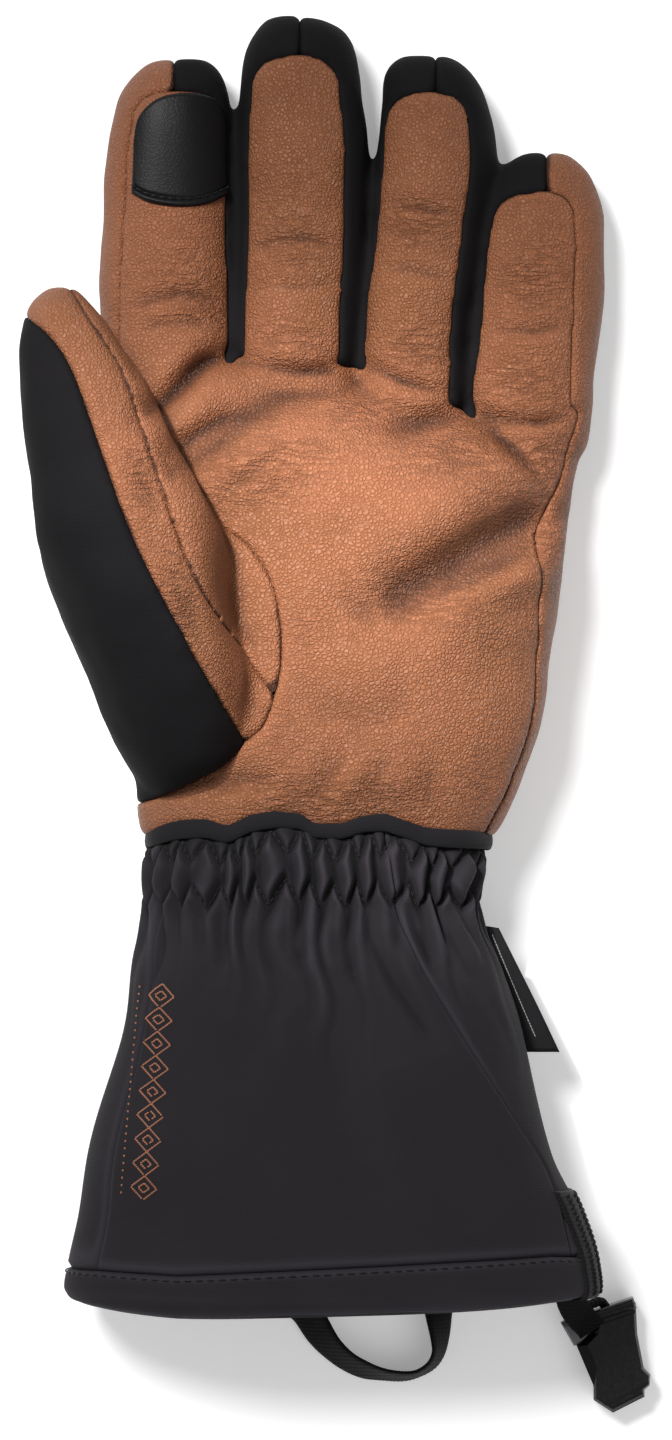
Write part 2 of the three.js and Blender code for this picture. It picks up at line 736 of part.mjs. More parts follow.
// Front of the cuff, between the seam by the thumb and the fold on the other side
const frontLeft = [{ at: 0, inset: 0.03 }, { at: 0.4, inset: 0.04 }, { at: 1, inset: 0.06 }];
const frontRight = [
  { at: 0.00, across: 0.085 },
  { at: 0.12, across: 0.105 },
  { at: 0.36, across: 0.200 },
  { at: 0.62, across: 0.350 },
  { at: 0.74, across: 0.417 },
  { at: 0.78, across: 0.480 },
  { at: 1.00, across: 0.520 },
];
const cuffEdges = cuffRowsOf().reverse();
const cuffFrontOutline = [
  ...frontLeft.map((row) => {
    const y = cuffTop + seamGap - row.at * cuffLength;
    return new THREE.Vector2(edgeAt(cuffEdges, y, 'left') + row.inset * cuffWidth, y);
  }),
  ...frontRight.slice().reverse().map((row) => (
    new THREE.Vector2(row.across * cuffWidth, cuffTop + cutMargin - row.at * (cuffLength + cutMargin)))),
];
addPiece('cuff_front_panel', take(
  prism(cuffFrontOutline, cuffSeamHeight, reach),
  prism(grown(cuffFrontOutline, seamGap), cuffSeamHeight - seamGap, reach),
), cuffCloth);

addPiece('cuff_side_panel', take(
  block(0, reach, -reach, reach, cuffSideSeamHeight, reach),
  block(0, reach, -reach, reach, cuffSideSeamHeight - seamGap, reach),
), cuffCloth);
addPiece('cuff_back_panel', left, cuffCloth);

// Folded label sewn into the side of the cuff
const cuffSkin = (out) => loft(cuffRowsOf().map((row) => ringOf({ ...row, gather: 0 }, gatherCount, -out)));
const labelTop = cuffTop - 0.165 * cuffLength;
const labelOutline = [
  new THREE.Vector2(cuffRight * 0.5, labelTop),
  new THREE.Vector2(cuffRight * 0.615, labelTop - labelLength * 0.03),
  new THREE.Vector2(cuffRight * 0.64, labelTop - labelLength * 0.06),
  new THREE.Vector2(cuffRight * 0.64 + labelWidth, labelTop - labelLength),
  new THREE.Vector2(cuffRight * 0.5, labelTop - labelLength),
];
const labelBody = prism(labelOutline, labelHeight, labelHeight + labelThick);
addPiece('care_label', labelBody.subtract(cuffSkin(seamGap)), labelCloth);

// A flat ribbon along a curve. Each stop names its place and how far the ribbon has turned on edge.
function ribbon(stops, width, thick, steps) {
  const curve = new THREE.CatmullRomCurve3(stops.map((stop) => stop.place));
  const rings = [];
  for (let step = 0; step <= steps; step += 1) {
    const share = step / steps;
    const spot = share * (stops.length - 1);
    const before = Math.min(Math.floor(spot), stops.length - 2);
    const lean = THREE.MathUtils.lerp(stops[before].edge, stops[before + 1].edge, spot - before);
    const edge = (lean * Math.PI) / 2;
    const along = curve.getTangent(share);
    const flat = new THREE.Vector3(0, 0, 1).cross(along).normalize();
    const raised = new THREE.Vector3().crossVectors(along, flat).normalize();
    const across = flat.clone().multiplyScalar(Math.cos(edge)).addScaledVector(raised, Math.sin(edge));
    const through = new THREE.Vector3().crossVectors(along, across).normalize();
    const centre = curve.getPoint(share);
    rings.push([[1, 1], [-1, 1], [-1, -1], [1, -1]].map(([side, face]) => centre.clone()
      .addScaledVector(across, (side * width) / 2)
      .addScaledVector(through, (face * thick) / 2)));
  }
  return loft(rings);
}

// Webbing loop sewn inside the back of the hem
const hemBottom = cuffTop - cuffLength;
const lockTopY = hemBottom + lockRise;
const loopFloor = cuffWall + 2 * seamGap + loopThick / 2;
const loopPlaces = loopStops.map((stop) => ({
  edge: stop.edge,
  place: new THREE.Vector3(
    loopMiddleX + stop.across * loopSpan,
    hemBottom - stop.along * loopReach,
    loopFloor + stop.rise * loopWidth,
  ),
}));
addPiece('wrist_loop', ribbon(loopPlaces, loopWidth, loopThick, 36), webbing);

// Cord lock on the end of the drawcord, with its spring button
const lockPoint = (share) => new THREE.Vector2(
  lockMiddleX + share.across * lockWidth,
  lockTopY - share.along * lockLength,
);
const lockPoints = lockOutline.map(lockPoint);
const buttonFacet = lockPoints.slice(-2);
const buttonMouth = buttonFacet[0].clone().lerp(buttonFacet[1], 0.5);
const pressWay = new THREE.Vector2(0.5, -0.866).normalize();
const pressAcross = new THREE.Vector2(-pressWay.y, pressWay.x);

// A bar along the way that the button is pressed, between two distances from the lock's mouth
function buttonBar(fromMouth, toMouth, width, thick) {
  const corner = (along, side) => buttonMouth.clone()
    .addScaledVector(pressWay, along)
    .addScaledVector(pressAcross, (side * width) / 2);
  const outline = [corner(fromMouth, -1), corner(fromMouth, 1), corner(toMouth, 1), corner(toMouth, -1)];
  return prism(outline, (lockThick - thick) / 2, (lockThick + thick) / 2);
}

// Drawcord from the hem's corner to the lock
function cord(points, diameter, sides) {
  const section = new THREE.Shape();
  for (let side = 0; side < sides; side += 1) {
    const turn = (2 * Math.PI * side) / sides;
    const x = (Math.cos(turn) * diameter) / 2;
    const y = (Math.sin(turn) * diameter) / 2;
    if (side === 0) section.moveTo(x, y);
    else section.lineTo(x, y);
  }
  section.closePath();
  return solidOf(new THREE.ExtrudeGeometry(section, {
    extrudePath: new THREE.CatmullRomCurve3(points),
    steps: 8,
    bevelEnabled: false,
  }));
}

// The cord leaves the hem's lower corner and ends in a socket in the top of the lock
const socketDepth = 3.0;
const socketX = lockMiddleX - 0.11 * lockWidth;
const socketY = lockTopY - 0.08 * lockLength;
addPiece('drawcord', cord([
  new THREE.Vector3(lockMiddleX - 0.47 * lockWidth, hemBottom + hemArch - 0.8, 10.2),
  new THREE.Vector3(lockMiddleX - 0.19 * lockWidth, hemBottom + hemArch - 1.6, 6.4),
  new THREE.Vector3(socketX, socketY + 0.5 * socketDepth, lockThick / 2),
  new THREE.Vector3(socketX, socketY - socketDepth, lockThick / 2),
], cordDiameter, 8), webbing);

const socket = new THREE.CylinderGeometry(cordDiameter / 2 + 3 * seamGap, cordDiameter / 2 + 3 * seamGap,
  2 * socketDepth + 2 * seamGap, 10);
socket.translate(socketX, socketY, lockThick / 2);

const pocketDepth = stemLength + buttonTravel + seamGap;
const headDepth = buttonTravel + 2 * seamGap;
const lockBody = prism(lockPoints, 0, lockThick)
  .subtract(buttonBar(-cutMargin, headDepth, buttonWidth + 2 * seamGap, buttonThick + 2 * seamGap))
  .subtract(buttonBar(-cutMargin, pocketDepth, stemWidth + 2 * seamGap, stemThick + 2 * seamGap))
  .subtract(solidOf(socket));
addPiece('cord_lock_body', lockBody, blackPlastic);
addPiece('cord_lock_button', joined([
  buttonBar(-buttonProud, 0, buttonWidth, buttonThick),
  buttonBar(-1, stemLength, stemWidth, stemThick),
]), greyPlastic);

// Webbing tab from inside the hem over the button to the lock's shoulder
const tabHeight = lockThick + seamGap + tabThick / 2;
const tabPlaces = tabStops.map((stop) => ({
  edge: 0,
  place: new THREE.Vector3(
    lockMiddleX + stop.across * lockWidth,
    hemBottom - stop.along * lockLength,
    tabHeight + stop.rise * lockThick,
  ),
}));
addPiece('lock_tab', ribbon(tabPlaces, tabWidth, tabThick, 6), webbing);

export default glove;
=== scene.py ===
# Heated ski glove, left hand, lying on its back with the palm up.
# Shapes are worked out in millimetres and become metres when a mesh is made.
# X runs from the thumb to the little finger, Y from the cuff to the fingertips, Z from back to palm.

import math
from functools import partial

import bmesh
import bpy
import numpy as np
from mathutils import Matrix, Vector


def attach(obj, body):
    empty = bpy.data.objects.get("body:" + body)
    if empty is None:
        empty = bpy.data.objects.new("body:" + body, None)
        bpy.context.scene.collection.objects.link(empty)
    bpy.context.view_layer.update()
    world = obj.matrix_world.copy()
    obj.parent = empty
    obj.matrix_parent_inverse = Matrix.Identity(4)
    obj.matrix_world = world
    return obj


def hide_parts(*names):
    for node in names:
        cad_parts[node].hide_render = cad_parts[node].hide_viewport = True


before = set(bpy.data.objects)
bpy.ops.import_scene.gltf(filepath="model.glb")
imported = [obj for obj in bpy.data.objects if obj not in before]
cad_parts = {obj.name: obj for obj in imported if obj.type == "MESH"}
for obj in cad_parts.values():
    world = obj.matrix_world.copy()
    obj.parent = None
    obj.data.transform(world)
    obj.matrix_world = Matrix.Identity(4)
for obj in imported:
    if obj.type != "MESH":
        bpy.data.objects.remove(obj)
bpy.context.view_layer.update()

# Sizes
MM = 0.001
WRIST_Y = -30.6
HAND_LENGTH = 115.6
PALM_WIDTH = 116.0
PALM_THICK = 45.0
FINGER_ROOT_Y = 66.0
WALL = 3.0
FLOOR_SQUASH = 1.0
BACK_SEAM_Z = 8.0
FINGER_SEAM_Z = 13.0
PALM_SEAM_Z = 20.0
THUMB_ROOT_X = -43.0
THUMB_ROOT_Y = -25.2
THUMB_LENGTH = 131.0
THUMB_WIDTH = 46.0
THUMB_HEIGHT = 67.0
ROUND_POWER = 2.3
FLAT_POWER = 3.6
BODY_VOXEL = 1.1
INNER_VOXEL = 1.8
PANEL_VOXEL = 0.85
REACH = 260.0

CUFF_TOP = -33.4
CUFF_LENGTH = 115.2
CUFF_WIDTH = 133.0
CUFF_THICK = 61.0
CUFF_WALL = 2.4
HEM_HEIGHT = 11.5
HEM_ARCH = 3.0


def table(names, rows):
    """Rows with a name for each of their columns."""
    return [dict(zip(names.split(), row)) for row in rows]


# Tables of the padded hand, the same forms as the solids

HAND_ROWS = table("at slope left right low high", [
    (0.0, 0.0, -0.423, 0.33, 0.0, 0.94), (0.07, 0.0, -0.432, 0.372, 0.0, 0.97),
    (0.178, 0.0, -0.434, 0.412, 0.0, 0.99), (0.299, 0.0, -0.437, 0.44, 0.0, 1.0),
    (0.541, -0.05, -0.446, 0.472, 0.0, 0.98), (0.766, -0.15, -0.475, 0.492, 0.0, 0.91),
    (0.87, -0.2, -0.5, 0.505, 0.0, 0.79), (0.939, -0.23, -0.498, 0.516, 0.0, 0.64),
    (1.0, -0.234, -0.47, 0.5, 0.18, 0.38),
])

# A finger's rows run from inside the hand to its tip. left and right are shares of its width from its axis.
FINGERS = table("root_x tip_x reach width thick seam_left seam_right bare rows", [
    (-43.4, -41.0, 98.5, 32.0, 26.0, 0.20, 0.965, 10.0, table("at left right low high", [
        (0.0, -0.46, 0.43, 0.1, 0.96), (0.12, -0.52, 0.5, 0.0, 1.08), (0.26, -0.53, 0.52, 0.0, 1.04),
        (0.45, -0.53, 0.5, 0.0, 1.01), (0.64, -0.525, 0.485, 0.0, 0.99), (0.8, -0.48, 0.46, 0.01, 0.97),
        (0.9, -0.43, 0.425, 0.06, 0.92), (0.96, -0.32, 0.365, 0.16, 0.82), (1.0, -0.19, 0.24, 0.32, 0.66),
    ])),
    (-9.2, -9.6, 109.0, 31.6, 26.0, 0.09, 0.77, 12.2, table("at left right low high", [
        (0.0, -0.43, 0.43, 0.1, 0.96), (0.12, -0.51, 0.43, 0.0, 1.08), (0.26, -0.515, 0.45, 0.0, 1.04),
        (0.5, -0.5, 0.52, 0.0, 1.01), (0.71, -0.495, 0.535, 0.0, 0.99), (0.8, -0.48, 0.505, 0.01, 0.97),
        (0.92, -0.42, 0.43, 0.06, 0.92), (0.97, -0.33, 0.345, 0.16, 0.82), (1.0, -0.24, 0.18, 0.32, 0.66),
    ])),
    (19.6, 24.4, 99.2, 29.0, 26.0, 0.03, 0.74, 11.4, table("at left right low high", [
        (0.0, -0.43, 0.4, 0.1, 0.96), (0.12, -0.5, 0.395, 0.0, 1.08), (0.32, -0.53, 0.41, 0.0, 1.04),
        (0.56, -0.48, 0.48, 0.0, 1.0), (0.72, -0.465, 0.56, 0.0, 0.99), (0.84, -0.455, 0.51, 0.02, 0.96),
        (0.93, -0.44, 0.37, 0.08, 0.9), (0.97, -0.4, 0.27, 0.16, 0.82), (1.0, -0.29, 0.12, 0.32, 0.66),
    ])),
    (49.0, 52.0, 75.2, 29.6, 24.0, 0.07, 0.74, 11.2, table("at left right low high", [
        (0.0, -0.5, 0.44, 0.1, 0.96), (0.16, -0.61, 0.49, 0.0, 1.08), (0.4, -0.58, 0.505, 0.0, 1.04),
        (0.6, -0.56, 0.53, 0.0, 1.0), (0.76, -0.53, 0.515, 0.01, 0.98), (0.86, -0.48, 0.45, 0.04, 0.94),
        (0.93, -0.39, 0.365, 0.1, 0.88), (0.97, -0.28, 0.27, 0.18, 0.8), (1.0, -0.15, 0.18, 0.32, 0.66),
    ])),
])

THUMB_ROWS = table("at left right low high", [
    (0.0, -0.02, 0.3, 0.14, 0.54), (0.145, -0.28, 0.46, 0.03, 0.79), (0.26, -0.41, 0.48, 0.06, 0.9),
    (0.367, -0.54, 0.4, 0.12, 0.97), (0.474, -0.65, 0.355, 0.26, 1.0), (0.556, -0.69, 0.29, 0.44, 1.0),
    (0.64, -0.72, 0.16, 0.5, 0.98), (0.721, -0.74, 0.015, 0.5, 0.96), (0.8, -0.765, -0.08, 0.49, 0.93),
    (0.866, -0.775, -0.19, 0.47, 0.89), (0.931, -0.76, -0.32, 0.47, 0.85), (0.969, -0.72, -0.41, 0.49, 0.8),
    (1.0, -0.62, -0.49, 0.57, 0.72),
])

# Seams as stops in shares of the palm's width and the hand's length
GUSSET_SEAM = [
    (-0.262, 0.678), (-0.201, 0.637), (-0.158, 0.583), (-0.13, 0.507), (-0.122, 0.41), (-0.128, 0.338),
    (-0.158, 0.247), (-0.199, 0.211), (-0.24, 0.164), (-0.31, 0.115), (-0.375, 0.084), (-0.47, 0.07),
]
THUMB_CENTRE_SEAM = [
    (-0.575, 1.18), (-0.531, 1.105), (-0.488, 1.043), (-0.454, 0.977), (-0.378, 0.753), (-0.311, 0.567),
    (-0.25, 0.463), (-0.202, 0.402), (-0.143, 0.314),
]
THUMB_BACK_SEAM = [
    (-0.68, 1.13), (-0.613, 1.073), (-0.566, 1.002), (-0.516, 0.867), (-0.439, 0.653), (-0.344, 0.463),
    (-0.251, 0.294), (-0.195, 0.2),
]
PALM_SIDE_SEAM = [
    (0.52, 0.93), (0.518, 0.86), (0.512, 0.782), (0.475, 0.702), (0.439, 0.645), (0.4235, 0.572),
    (0.4235, 0.507), (0.4256, 0.347), (0.406, 0.217), (0.359, 0.087), (0.335, 0.04), (0.315, -0.02),
]
# Bottoms of the webs between the fingers, with the palm's corners outside them
WEB_LINE = [(-0.456, 1.030), (-0.221, 1.040), (0.030, 1.020), (0.267, 0.926), (0.485, 0.930)]

# How far the wrist's edge rises towards the fingers on the palm side, by place across
WRIST_WAVE = table("at lift", [
    (-50.0, 0.0), (-38.6, 3.3), (-33.6, 3.6), (-27.9, 2.4), (-21.4, 5.1), (-15.1, 6.1), (-9.9, 5.9),
    (-5.6, 3.6), (0.1, 3.4), (7.0, 5.1), (10.5, 5.3), (15.6, 3.9), (23.1, 1.4), (37.0, 0.6),
])

CUFF_ROWS = table("at left right low high", [
    (0.0, -0.367, 0.28, 0.0, 0.68), (0.05, -0.367, 0.276, 0.0, 0.67), (0.118, -0.364, 0.266, 0.0, 0.68),
    (0.17, -0.371, 0.274, 0.0, 0.73), (0.24, -0.384, 0.3, 0.0, 0.78), (0.37, -0.4, 0.34, 0.0, 0.83),
    (0.66, -0.471, 0.4, 0.0, 0.94), (0.78, -0.487, 0.45, 0.0, 0.97), (0.9, -0.508, 0.482, 0.0, 1.0),
    (0.955, -0.513, 0.486, 0.0, 1.0), (1.0, -0.498, 0.478, 0.0, 0.97),
])


# Curves and forms

def column(rows, name, at):
    """A smooth curve, without overshoot, through one column of a table."""
    x = np.array([row["at"] for row in rows], float)
    y = np.array([row[name] for row in rows], float)
    step = np.diff(x)
    rise = np.diff(y) / step
    slope = np.zeros(len(x))
    slope[0], slope[-1] = rise[0], rise[-1]
    for k in range(1, len(x) - 1):
        if rise[k - 1] * rise[k] > 0:
            a = 2 * step[k] + step[k - 1]
            b = step[k] + 2 * step[k - 1]
            slope[k] = (a + b) / (a / rise[k - 1] + b / rise[k])
    at = np.clip(np.asarray(at, float), x[0], x[-1])
    k = np.clip(np.searchsorted(x, at) - 1, 0, len(x) - 2)
    t = (at - x[k]) / step[k]
    return (
        (1 + 2 * t) * (1 - t) ** 2 * y[k]
        + t * (1 - t) ** 2 * step[k] * slope[k]
        + t * t * (3 - 2 * t) * y[k + 1]
        + t * t * (t - 1) * step[k] * slope[k + 1]
    )


def smooth_line(stops, steps=8):
    """A smooth line through its stops."""
    p = np.array(stops, float)
    p = np.vstack([2 * p[0] - p[1], p, 2 * p[-1] - p[-2]])
    out = []
    for k in range(1, len(p) - 2):
        for t in np.arange(steps) / steps:
            out.append(0.5 * (
                2 * p[k] + (p[k + 1] - p[k - 1]) * t
                + (2 * p[k - 1] - 5 * p[k] + 4 * p[k + 1] - p[k + 2]) * t * t
                + (3 * p[k] - p[k - 1] - 3 * p[k + 1] + p[k + 2]) * t ** 3
            ))
    out.append(p[-2])
    return np.array(out)


def palm_line(stops, steps=8):
    return smooth_line([(x * PALM_WIDTH, WRIST_Y + y * HAND_LENGTH) for x, y in stops], steps)


def signed_power(value, power):
    return np.sign(value) * np.abs(value) ** power


def unit(vectors):
    return vectors / np.maximum(np.linalg.norm(vectors, axis=-1, keepdims=True), 1e-12)


def run_along(line):
    """The length along a line up to each of its points."""
    return np.concatenate([[0], np.cumsum(np.linalg.norm(np.diff(line, axis=0), axis=1))])


def round_section(turn):
    """How far across and up a section reaches at each turn: rounder above and flatter on the floor."""
    power = 2 / np.where(np.sin(turn) > 0, ROUND_POWER, FLAT_POWER)
    return signed_power(np.cos(turn), power), signed_power(np.sin(turn), power)


def ring(y, left, right, low, high, slope=0.0, inset=0.0, sides=72):
    """One section of a padded part."""
    across, up = round_section(2 * math.pi * (np.arange(sides) + 0.5) / sides)
    half_width = max((right - left) / 2 - inset, (right - left) * 0.1)
    half_height = max((high - low) / 2 - inset, (high - low) * 0.1)
    x = (left + right) / 2 + half_width * across
    z = (low + high) / 2 + half_height * up
    return np.column_stack([x, y + slope * x, z])


def tube_faces(rows, sides, closed=False):
    """Faces between neighbouring rings. A closed tube also joins its last ring to its first."""
    k = np.arange(rows * sides).reshape(rows, sides)
    beside = np.roll(k, -1, axis=1)
    quads = np.stack([k, beside, np.roll(beside, -1, axis=0), np.roll(k, -1, axis=0)], -1)
    return (quads if closed else quads[:-1]).reshape(-1, 4).tolist()


def loft(rings):
    """Points and faces of a closed body through rings."""
    rings = np.array(rings)
    count, sides = rings.shape[:2]
    points = np.vstack([rings.reshape(-1, 3), rings[0].mean(0), rings[-1].mean(0)])
    faces = tube_faces(count, sides)
    last = (count - 1) * sides
    for side in range(sides):
        following = (side + 1) % sides
        faces.append((count * sides, following, side))
        faces.append((count * sides + 1, last + side, last + following))
    return points, faces


# Meshes

def mesh_object(name, points, faces):
    mesh = bpy.data.meshes.new(name)
    mesh.from_pydata((np.asarray(points) * MM).tolist(), [], [tuple(int(i) for i in f) for f in faces])
    mesh.validate()
    obj = bpy.data.objects.new(name, mesh)
    bpy.context.scene.collection.objects.link(obj)
    return obj


def outward(obj):
    """Turns a closed mesh's faces outwards."""
    bm = bmesh.new()
    bm.from_mesh(obj.data)
    bmesh.ops.recalc_face_normals(bm, faces=bm.faces)
    bm.to_mesh(obj.data)
    bm.free()
    return obj


def settled(obj):
    """Applies an object's modifiers to its mesh."""
    bpy.context.view_layer.update()
    graph = bpy.context.evaluated_depsgraph_get()
    mesh = bpy.data.meshes.new_from_object(obj.evaluated_get(graph))
    old = obj.data
    obj.modifiers.clear()
    obj.data = mesh
    bpy.data.meshes.remove(old)
    return obj


def joined(name, bodies):
    points, faces, start = [], [], 0
    for body_points, body_faces in bodies:
        points.append(np.asarray(body_points))
        faces += [tuple(i + start for i in f) for f in body_faces]
        start += len(body_points)
    return mesh_object(name, np.vstack(points), faces)


def remeshed(obj, size):
    modifier = obj.modifiers.new("Even mesh", "REMESH")
    modifier.mode = "VOXEL"
    modifier.voxel_size = size * MM
    modifier.use_smooth_shade = True
    return settled(obj)


def copied(obj, name):
    twin = bpy.data.objects.new(name, obj.data.copy())
    bpy.context.scene.collection.objects.link(twin)
    return twin


def removed(obj):
    mesh = obj.data
    bpy.data.objects.remove(obj)
    bpy.data.meshes.remove(mesh)


def cut(obj, cutter, way="DIFFERENCE", keep=False):
    """Cuts a body with another one, which is then removed if it isn't to be kept."""
    modifier = obj.modifiers.new("Cut", "BOOLEAN")
    modifier.solver = "MANIFOLD"
    modifier.operation = way
    modifier.object = cutter
    settled(obj)
    if not keep:
        removed(cutter)
    return obj


def read_values(items, name, width, kind=np.float32):
    flat = np.empty(len(items) * width, kind)
    items.foreach_get(name, flat)
    return flat.reshape(-1, width)


def points_of(obj):
    return read_values(obj.data.vertices, "co", 3).astype(float) / MM


def place_points(obj, points):
    obj.data.vertices.foreach_set("co", (points * MM).astype(np.float32).ravel())
    obj.data.update()


def normals_of(obj):
    return read_values(obj.data.vertex_normals, "vector", 3).astype(float)


def edges_of(obj):
    return read_values(obj.data.edges, "vertices", 2, np.int32)


def averaged(values, edges, rounds, strength=0.6):
    """Values at points, spread to their neighbours."""
    count = len(values)
    a, b = edges[:, 0], edges[:, 1]
    degree = np.maximum(np.bincount(a, minlength=count) + np.bincount(b, minlength=count), 1)
    values = values.copy()
    for _ in range(rounds):
        for axis in range(values.shape[1]):
            v = values[:, axis]
            total = np.bincount(a, v[b], count) + np.bincount(b, v[a], count)
            values[:, axis] = v + strength * (total / degree - v)
    return values


def relaxed(obj, rounds, strength=0.6):
    place_points(obj, averaged(points_of(obj), edges_of(obj), rounds, strength))
    return obj


def keep_value(obj, name, values):
    attribute = obj.data.attributes.new(name, "FLOAT", "POINT")
    attribute.data.foreach_set("value", np.asarray(values, np.float32))


# Sewn edges that drop this far below their surroundings count as this deep, so they get painted shade like a
# fold.
SEWN_DROP = 0.62
SEWN_RANGE = 0.3
SEWN_DEPTH = 1.1


def paint_crease_shade(obj, rounds=12, scale=1.6, seams=False, extra_shade=0.0):
    """Stores how deep each point lies below its surroundings, which the materials turn into painted shade in
    hollows and a painted highlight on ridges. Sewn edges count as deep and get painted shade; the extra value
    adds more painted shade.
    """
    points = points_of(obj)
    spread = averaged(points, edges_of(obj), rounds)
    depth = np.einsum("ij,ij->i", spread - points, normals_of(obj)) * scale
    if seams:
        seam = np.clip((-depth - SEWN_DROP) / SEWN_RANGE, 0, 1)
        depth = np.where(depth < 0, depth * (1 - seam) + SEWN_DEPTH * seam, depth)
    keep_value(obj, "crease", np.clip(depth + extra_shade, -1, 1))


def smooth_faces(obj):
    obj.data.polygons.foreach_set("use_smooth", np.ones(len(obj.data.polygons), bool))
    obj.data.update()
    return obj


def smooth_body(name, points, faces):
    return smooth_faces(outward(mesh_object(name, points, faces)))


def prism(name, outline, low, high, top_outline=None):
    """A body over an outline, straight up or leaning to a second outline with as many points."""
    outline = np.asarray(outline, float)
    count = len(outline)
    bottom = np.column_stack([outline, np.full(count, low)])
    top = np.column_stack([outline if top_outline is None else top_outline, np.full(count, high)])
    faces = [tuple(range(count)), tuple(range(count, 2 * count))]
    faces += [(k, (k + 1) % count, count + (k + 1) % count, count + k) for k in range(count)]
    return outward(mesh_object(name, np.vstack([bottom, top]), faces))


def block(name, low, high):
    (x0, y0, z0), (x1, y1, z1) = low, high
    return prism(name, [(x0, y0), (x1, y0), (x1, y1), (x0, y1)], z0, z1)


# Folds pressed into the leather: a line over the palm, its width, its depth and the ridge beside it

PALM_FOLDS = [
    ([(-49, 73), (-40, 81), (-33, 88), (-25, 90)], 2.6, 5.0, 1.3),
    ([(-46, 57), (-34, 66), (-21, 75), (2, 85)], 4.5, 3.6, 1.0),
    ([(-44, 64), (-34, 71), (-26, 76)], 1.6, 1.3, 0.6), ([(-30, 54), (-22, 60), (-12, 66)], 1.6, 0.9, 0.5),
    ([(-26, 89), (-11, 86), (2, 87)], 1.7, 2.2, 0.8), ([(5, 89), (17, 83), (29, 80)], 1.7, 2.3, 0.8),
    ([(10, 71), (20, 72), (31, 76)], 3.4, 2.4, 0.6), ([(33, 77), (47, 73), (58, 75)], 1.6, 2.2, 0.8),
    ([(32, 76), (43, 67), (53, 59)], 2.6, 2.8, 0.8), ([(38, 70), (46, 63), (52, 55)], 1.4, 1.0, 0.5),
    ([(62, 56), (50, 50), (38, 43), (24, 35), (8, 26)], 6.2, 7.5, 1.4),
    ([(54, 43), (42, 38), (30, 33)], 2.4, 1.4, 0.7), ([(56, 30), (46, 28), (36, 27)], 3.0, 1.0, 0.5),
    ([(-24, 117), (-10, 119), (1, 117)], 1.4, 1.2, 0.5),
    ([(-22, 108), (-10, 107), (1, 109)], 1.4, 0.7, 0.4),
    ([(11, 128), (20, 127), (31, 124)], 1.4, 1.0, 0.5), ([(10, 112), (20, 111), (30, 108)], 1.4, 0.9, 0.5),
    ([(38, 97), (48, 96), (57, 98)], 1.5, 1.1, 0.5), ([(-52, 102), (-40, 105), (-29, 104)], 1.6, 1.3, 0.5),
    ([(-50, 97), (-40, 98), (-30, 99)], 1.3, 0.8, 0.4),
    ([(-40, -22), (-26, -17), (-14, -20)], 3.6, 1.4, 0.4),
    ([(-5, -24), (-3, -17), (3, -8)], 3.0, 1.1, 0.4), ([(10, -25), (9, -17), (13, -10)], 3.0, 0.9, 0.3),
    ([(24, -26), (22, -18), (24, -10)], 3.0, 0.8, 0.3), ([(-12, 6), (4, 2), (20, 4)], 7.0, 1.4, 0.4),
]

THUMB_FOLDS = [
    ([(-52, 63), (-48, 56), (-44, 50)], 1.6, 0.9, 0.5), ([(-49, 64), (-46, 57), (-43, 51)], 1.4, 0.7, 0.5),
    ([(-38, 30), (-36, 22), (-34, 14)], 1.8, 0.8, 0.4),
    ([(-29, 48), (-27.5, 34), (-24, 22), (-18, 11)], 3.2, 5.0, 0.9),
]


def fold_depth(x, y, folds):
    """How far a set of folds lowers or raises the surface at each place."""
    total = np.zeros(len(x))
    for stops, width, depth, ridge in folds:
        line = smooth_line(stops, 6)
        best = np.full(len(x), 1e9)
        share = np.zeros(len(x))
        count = len(line) - 1
        for k in range(count):
            a, b = line[k], line[k + 1]
            run = b - a
            t = np.clip(((x - a[0]) * run[0] + (y - a[1]) * run[1]) / run.dot(run), 0, 1)
            away = np.hypot(x - a[0] - t * run[0], y - a[1] - t * run[1])
            nearer = away < best
            best = np.where(nearer, away, best)
            share = np.where(nearer, (k + t) / count, share)
        fade = np.sin(math.pi * np.clip(share, 0.02, 0.98)) ** 0.6
        total -= depth * fade * np.exp(-(best / width) ** 2)
        total += ridge * fade * np.exp(-((best - 2.2 * width) / width) ** 2)
    return total


WRINKLED_PLACES = [
    (-38, 104, 12, 9), (-12, 118, 11, 9), (20, 124, 11, 8), (20, 92, 11, 8), (-12, 92, 10, 6),
    (46, 84, 12, 12), (48, 110, 10, 8), (-22, 60, 20, 10), (-48, 58, 5, 14), (-40, 26, 5, 18),
    (26, 66, 16, 10), (50, 62, 12, 12), (54, 40, 8, 16), (0, -20, 30, 7), (26, 30, 22, 10), (8, 76, 12, 5),
]


def wrinkles(x, y):
    """How finely the hide is wrinkled at each place, from 0 to 1. A place is a middle and two reaches."""
    total = np.zeros(len(x))
    for middle_x, middle_y, reach_x, reach_y in WRINKLED_PLACES:
        total = np.maximum(total, np.exp(-((x - middle_x) / reach_x) ** 2 - ((y - middle_y) / reach_y) ** 2))
    return 0.8 * total


def waves(points, seed, length, count=24):
    """Soft, even bumps between -1 and 1, built from many slanted waves."""
    chance = np.random.default_rng(seed)
    total = np.zeros(len(points))
    for _ in range(count):
        way = chance.normal(size=3)
        way /= np.linalg.norm(way)
        pitch = length * chance.uniform(0.7, 1.6)
        total += np.sin(2 * math.pi * (points @ way) / pitch + chance.uniform(0, 2 * math.pi))
    return total / math.sqrt(count)


# The padded hand

def section(rows, at, width, thick, sink=0.0, middle=0.0):
    """The left, right, low and high edge of a part at a share of its length."""
    return (
        middle + column(rows, "left", at) * width, middle + column(rows, "right", at) * width,
        column(rows, "low", at) * thick - sink, column(rows, "high", at) * thick,
    )


def hand_section(at):
    return section(HAND_ROWS, at, PALM_WIDTH, PALM_THICK, FLOOR_SQUASH)


def finger_section(finger, at):
    axis = finger["root_x"] + (finger["tip_x"] - finger["root_x"]) * at
    return section(finger["rows"], at, finger["width"], finger["thick"], FLOOR_SQUASH, axis)


def thumb_section(at):
    return section(THUMB_ROWS, at, THUMB_WIDTH, THUMB_HEIGHT, 0.0, THUMB_ROOT_X)


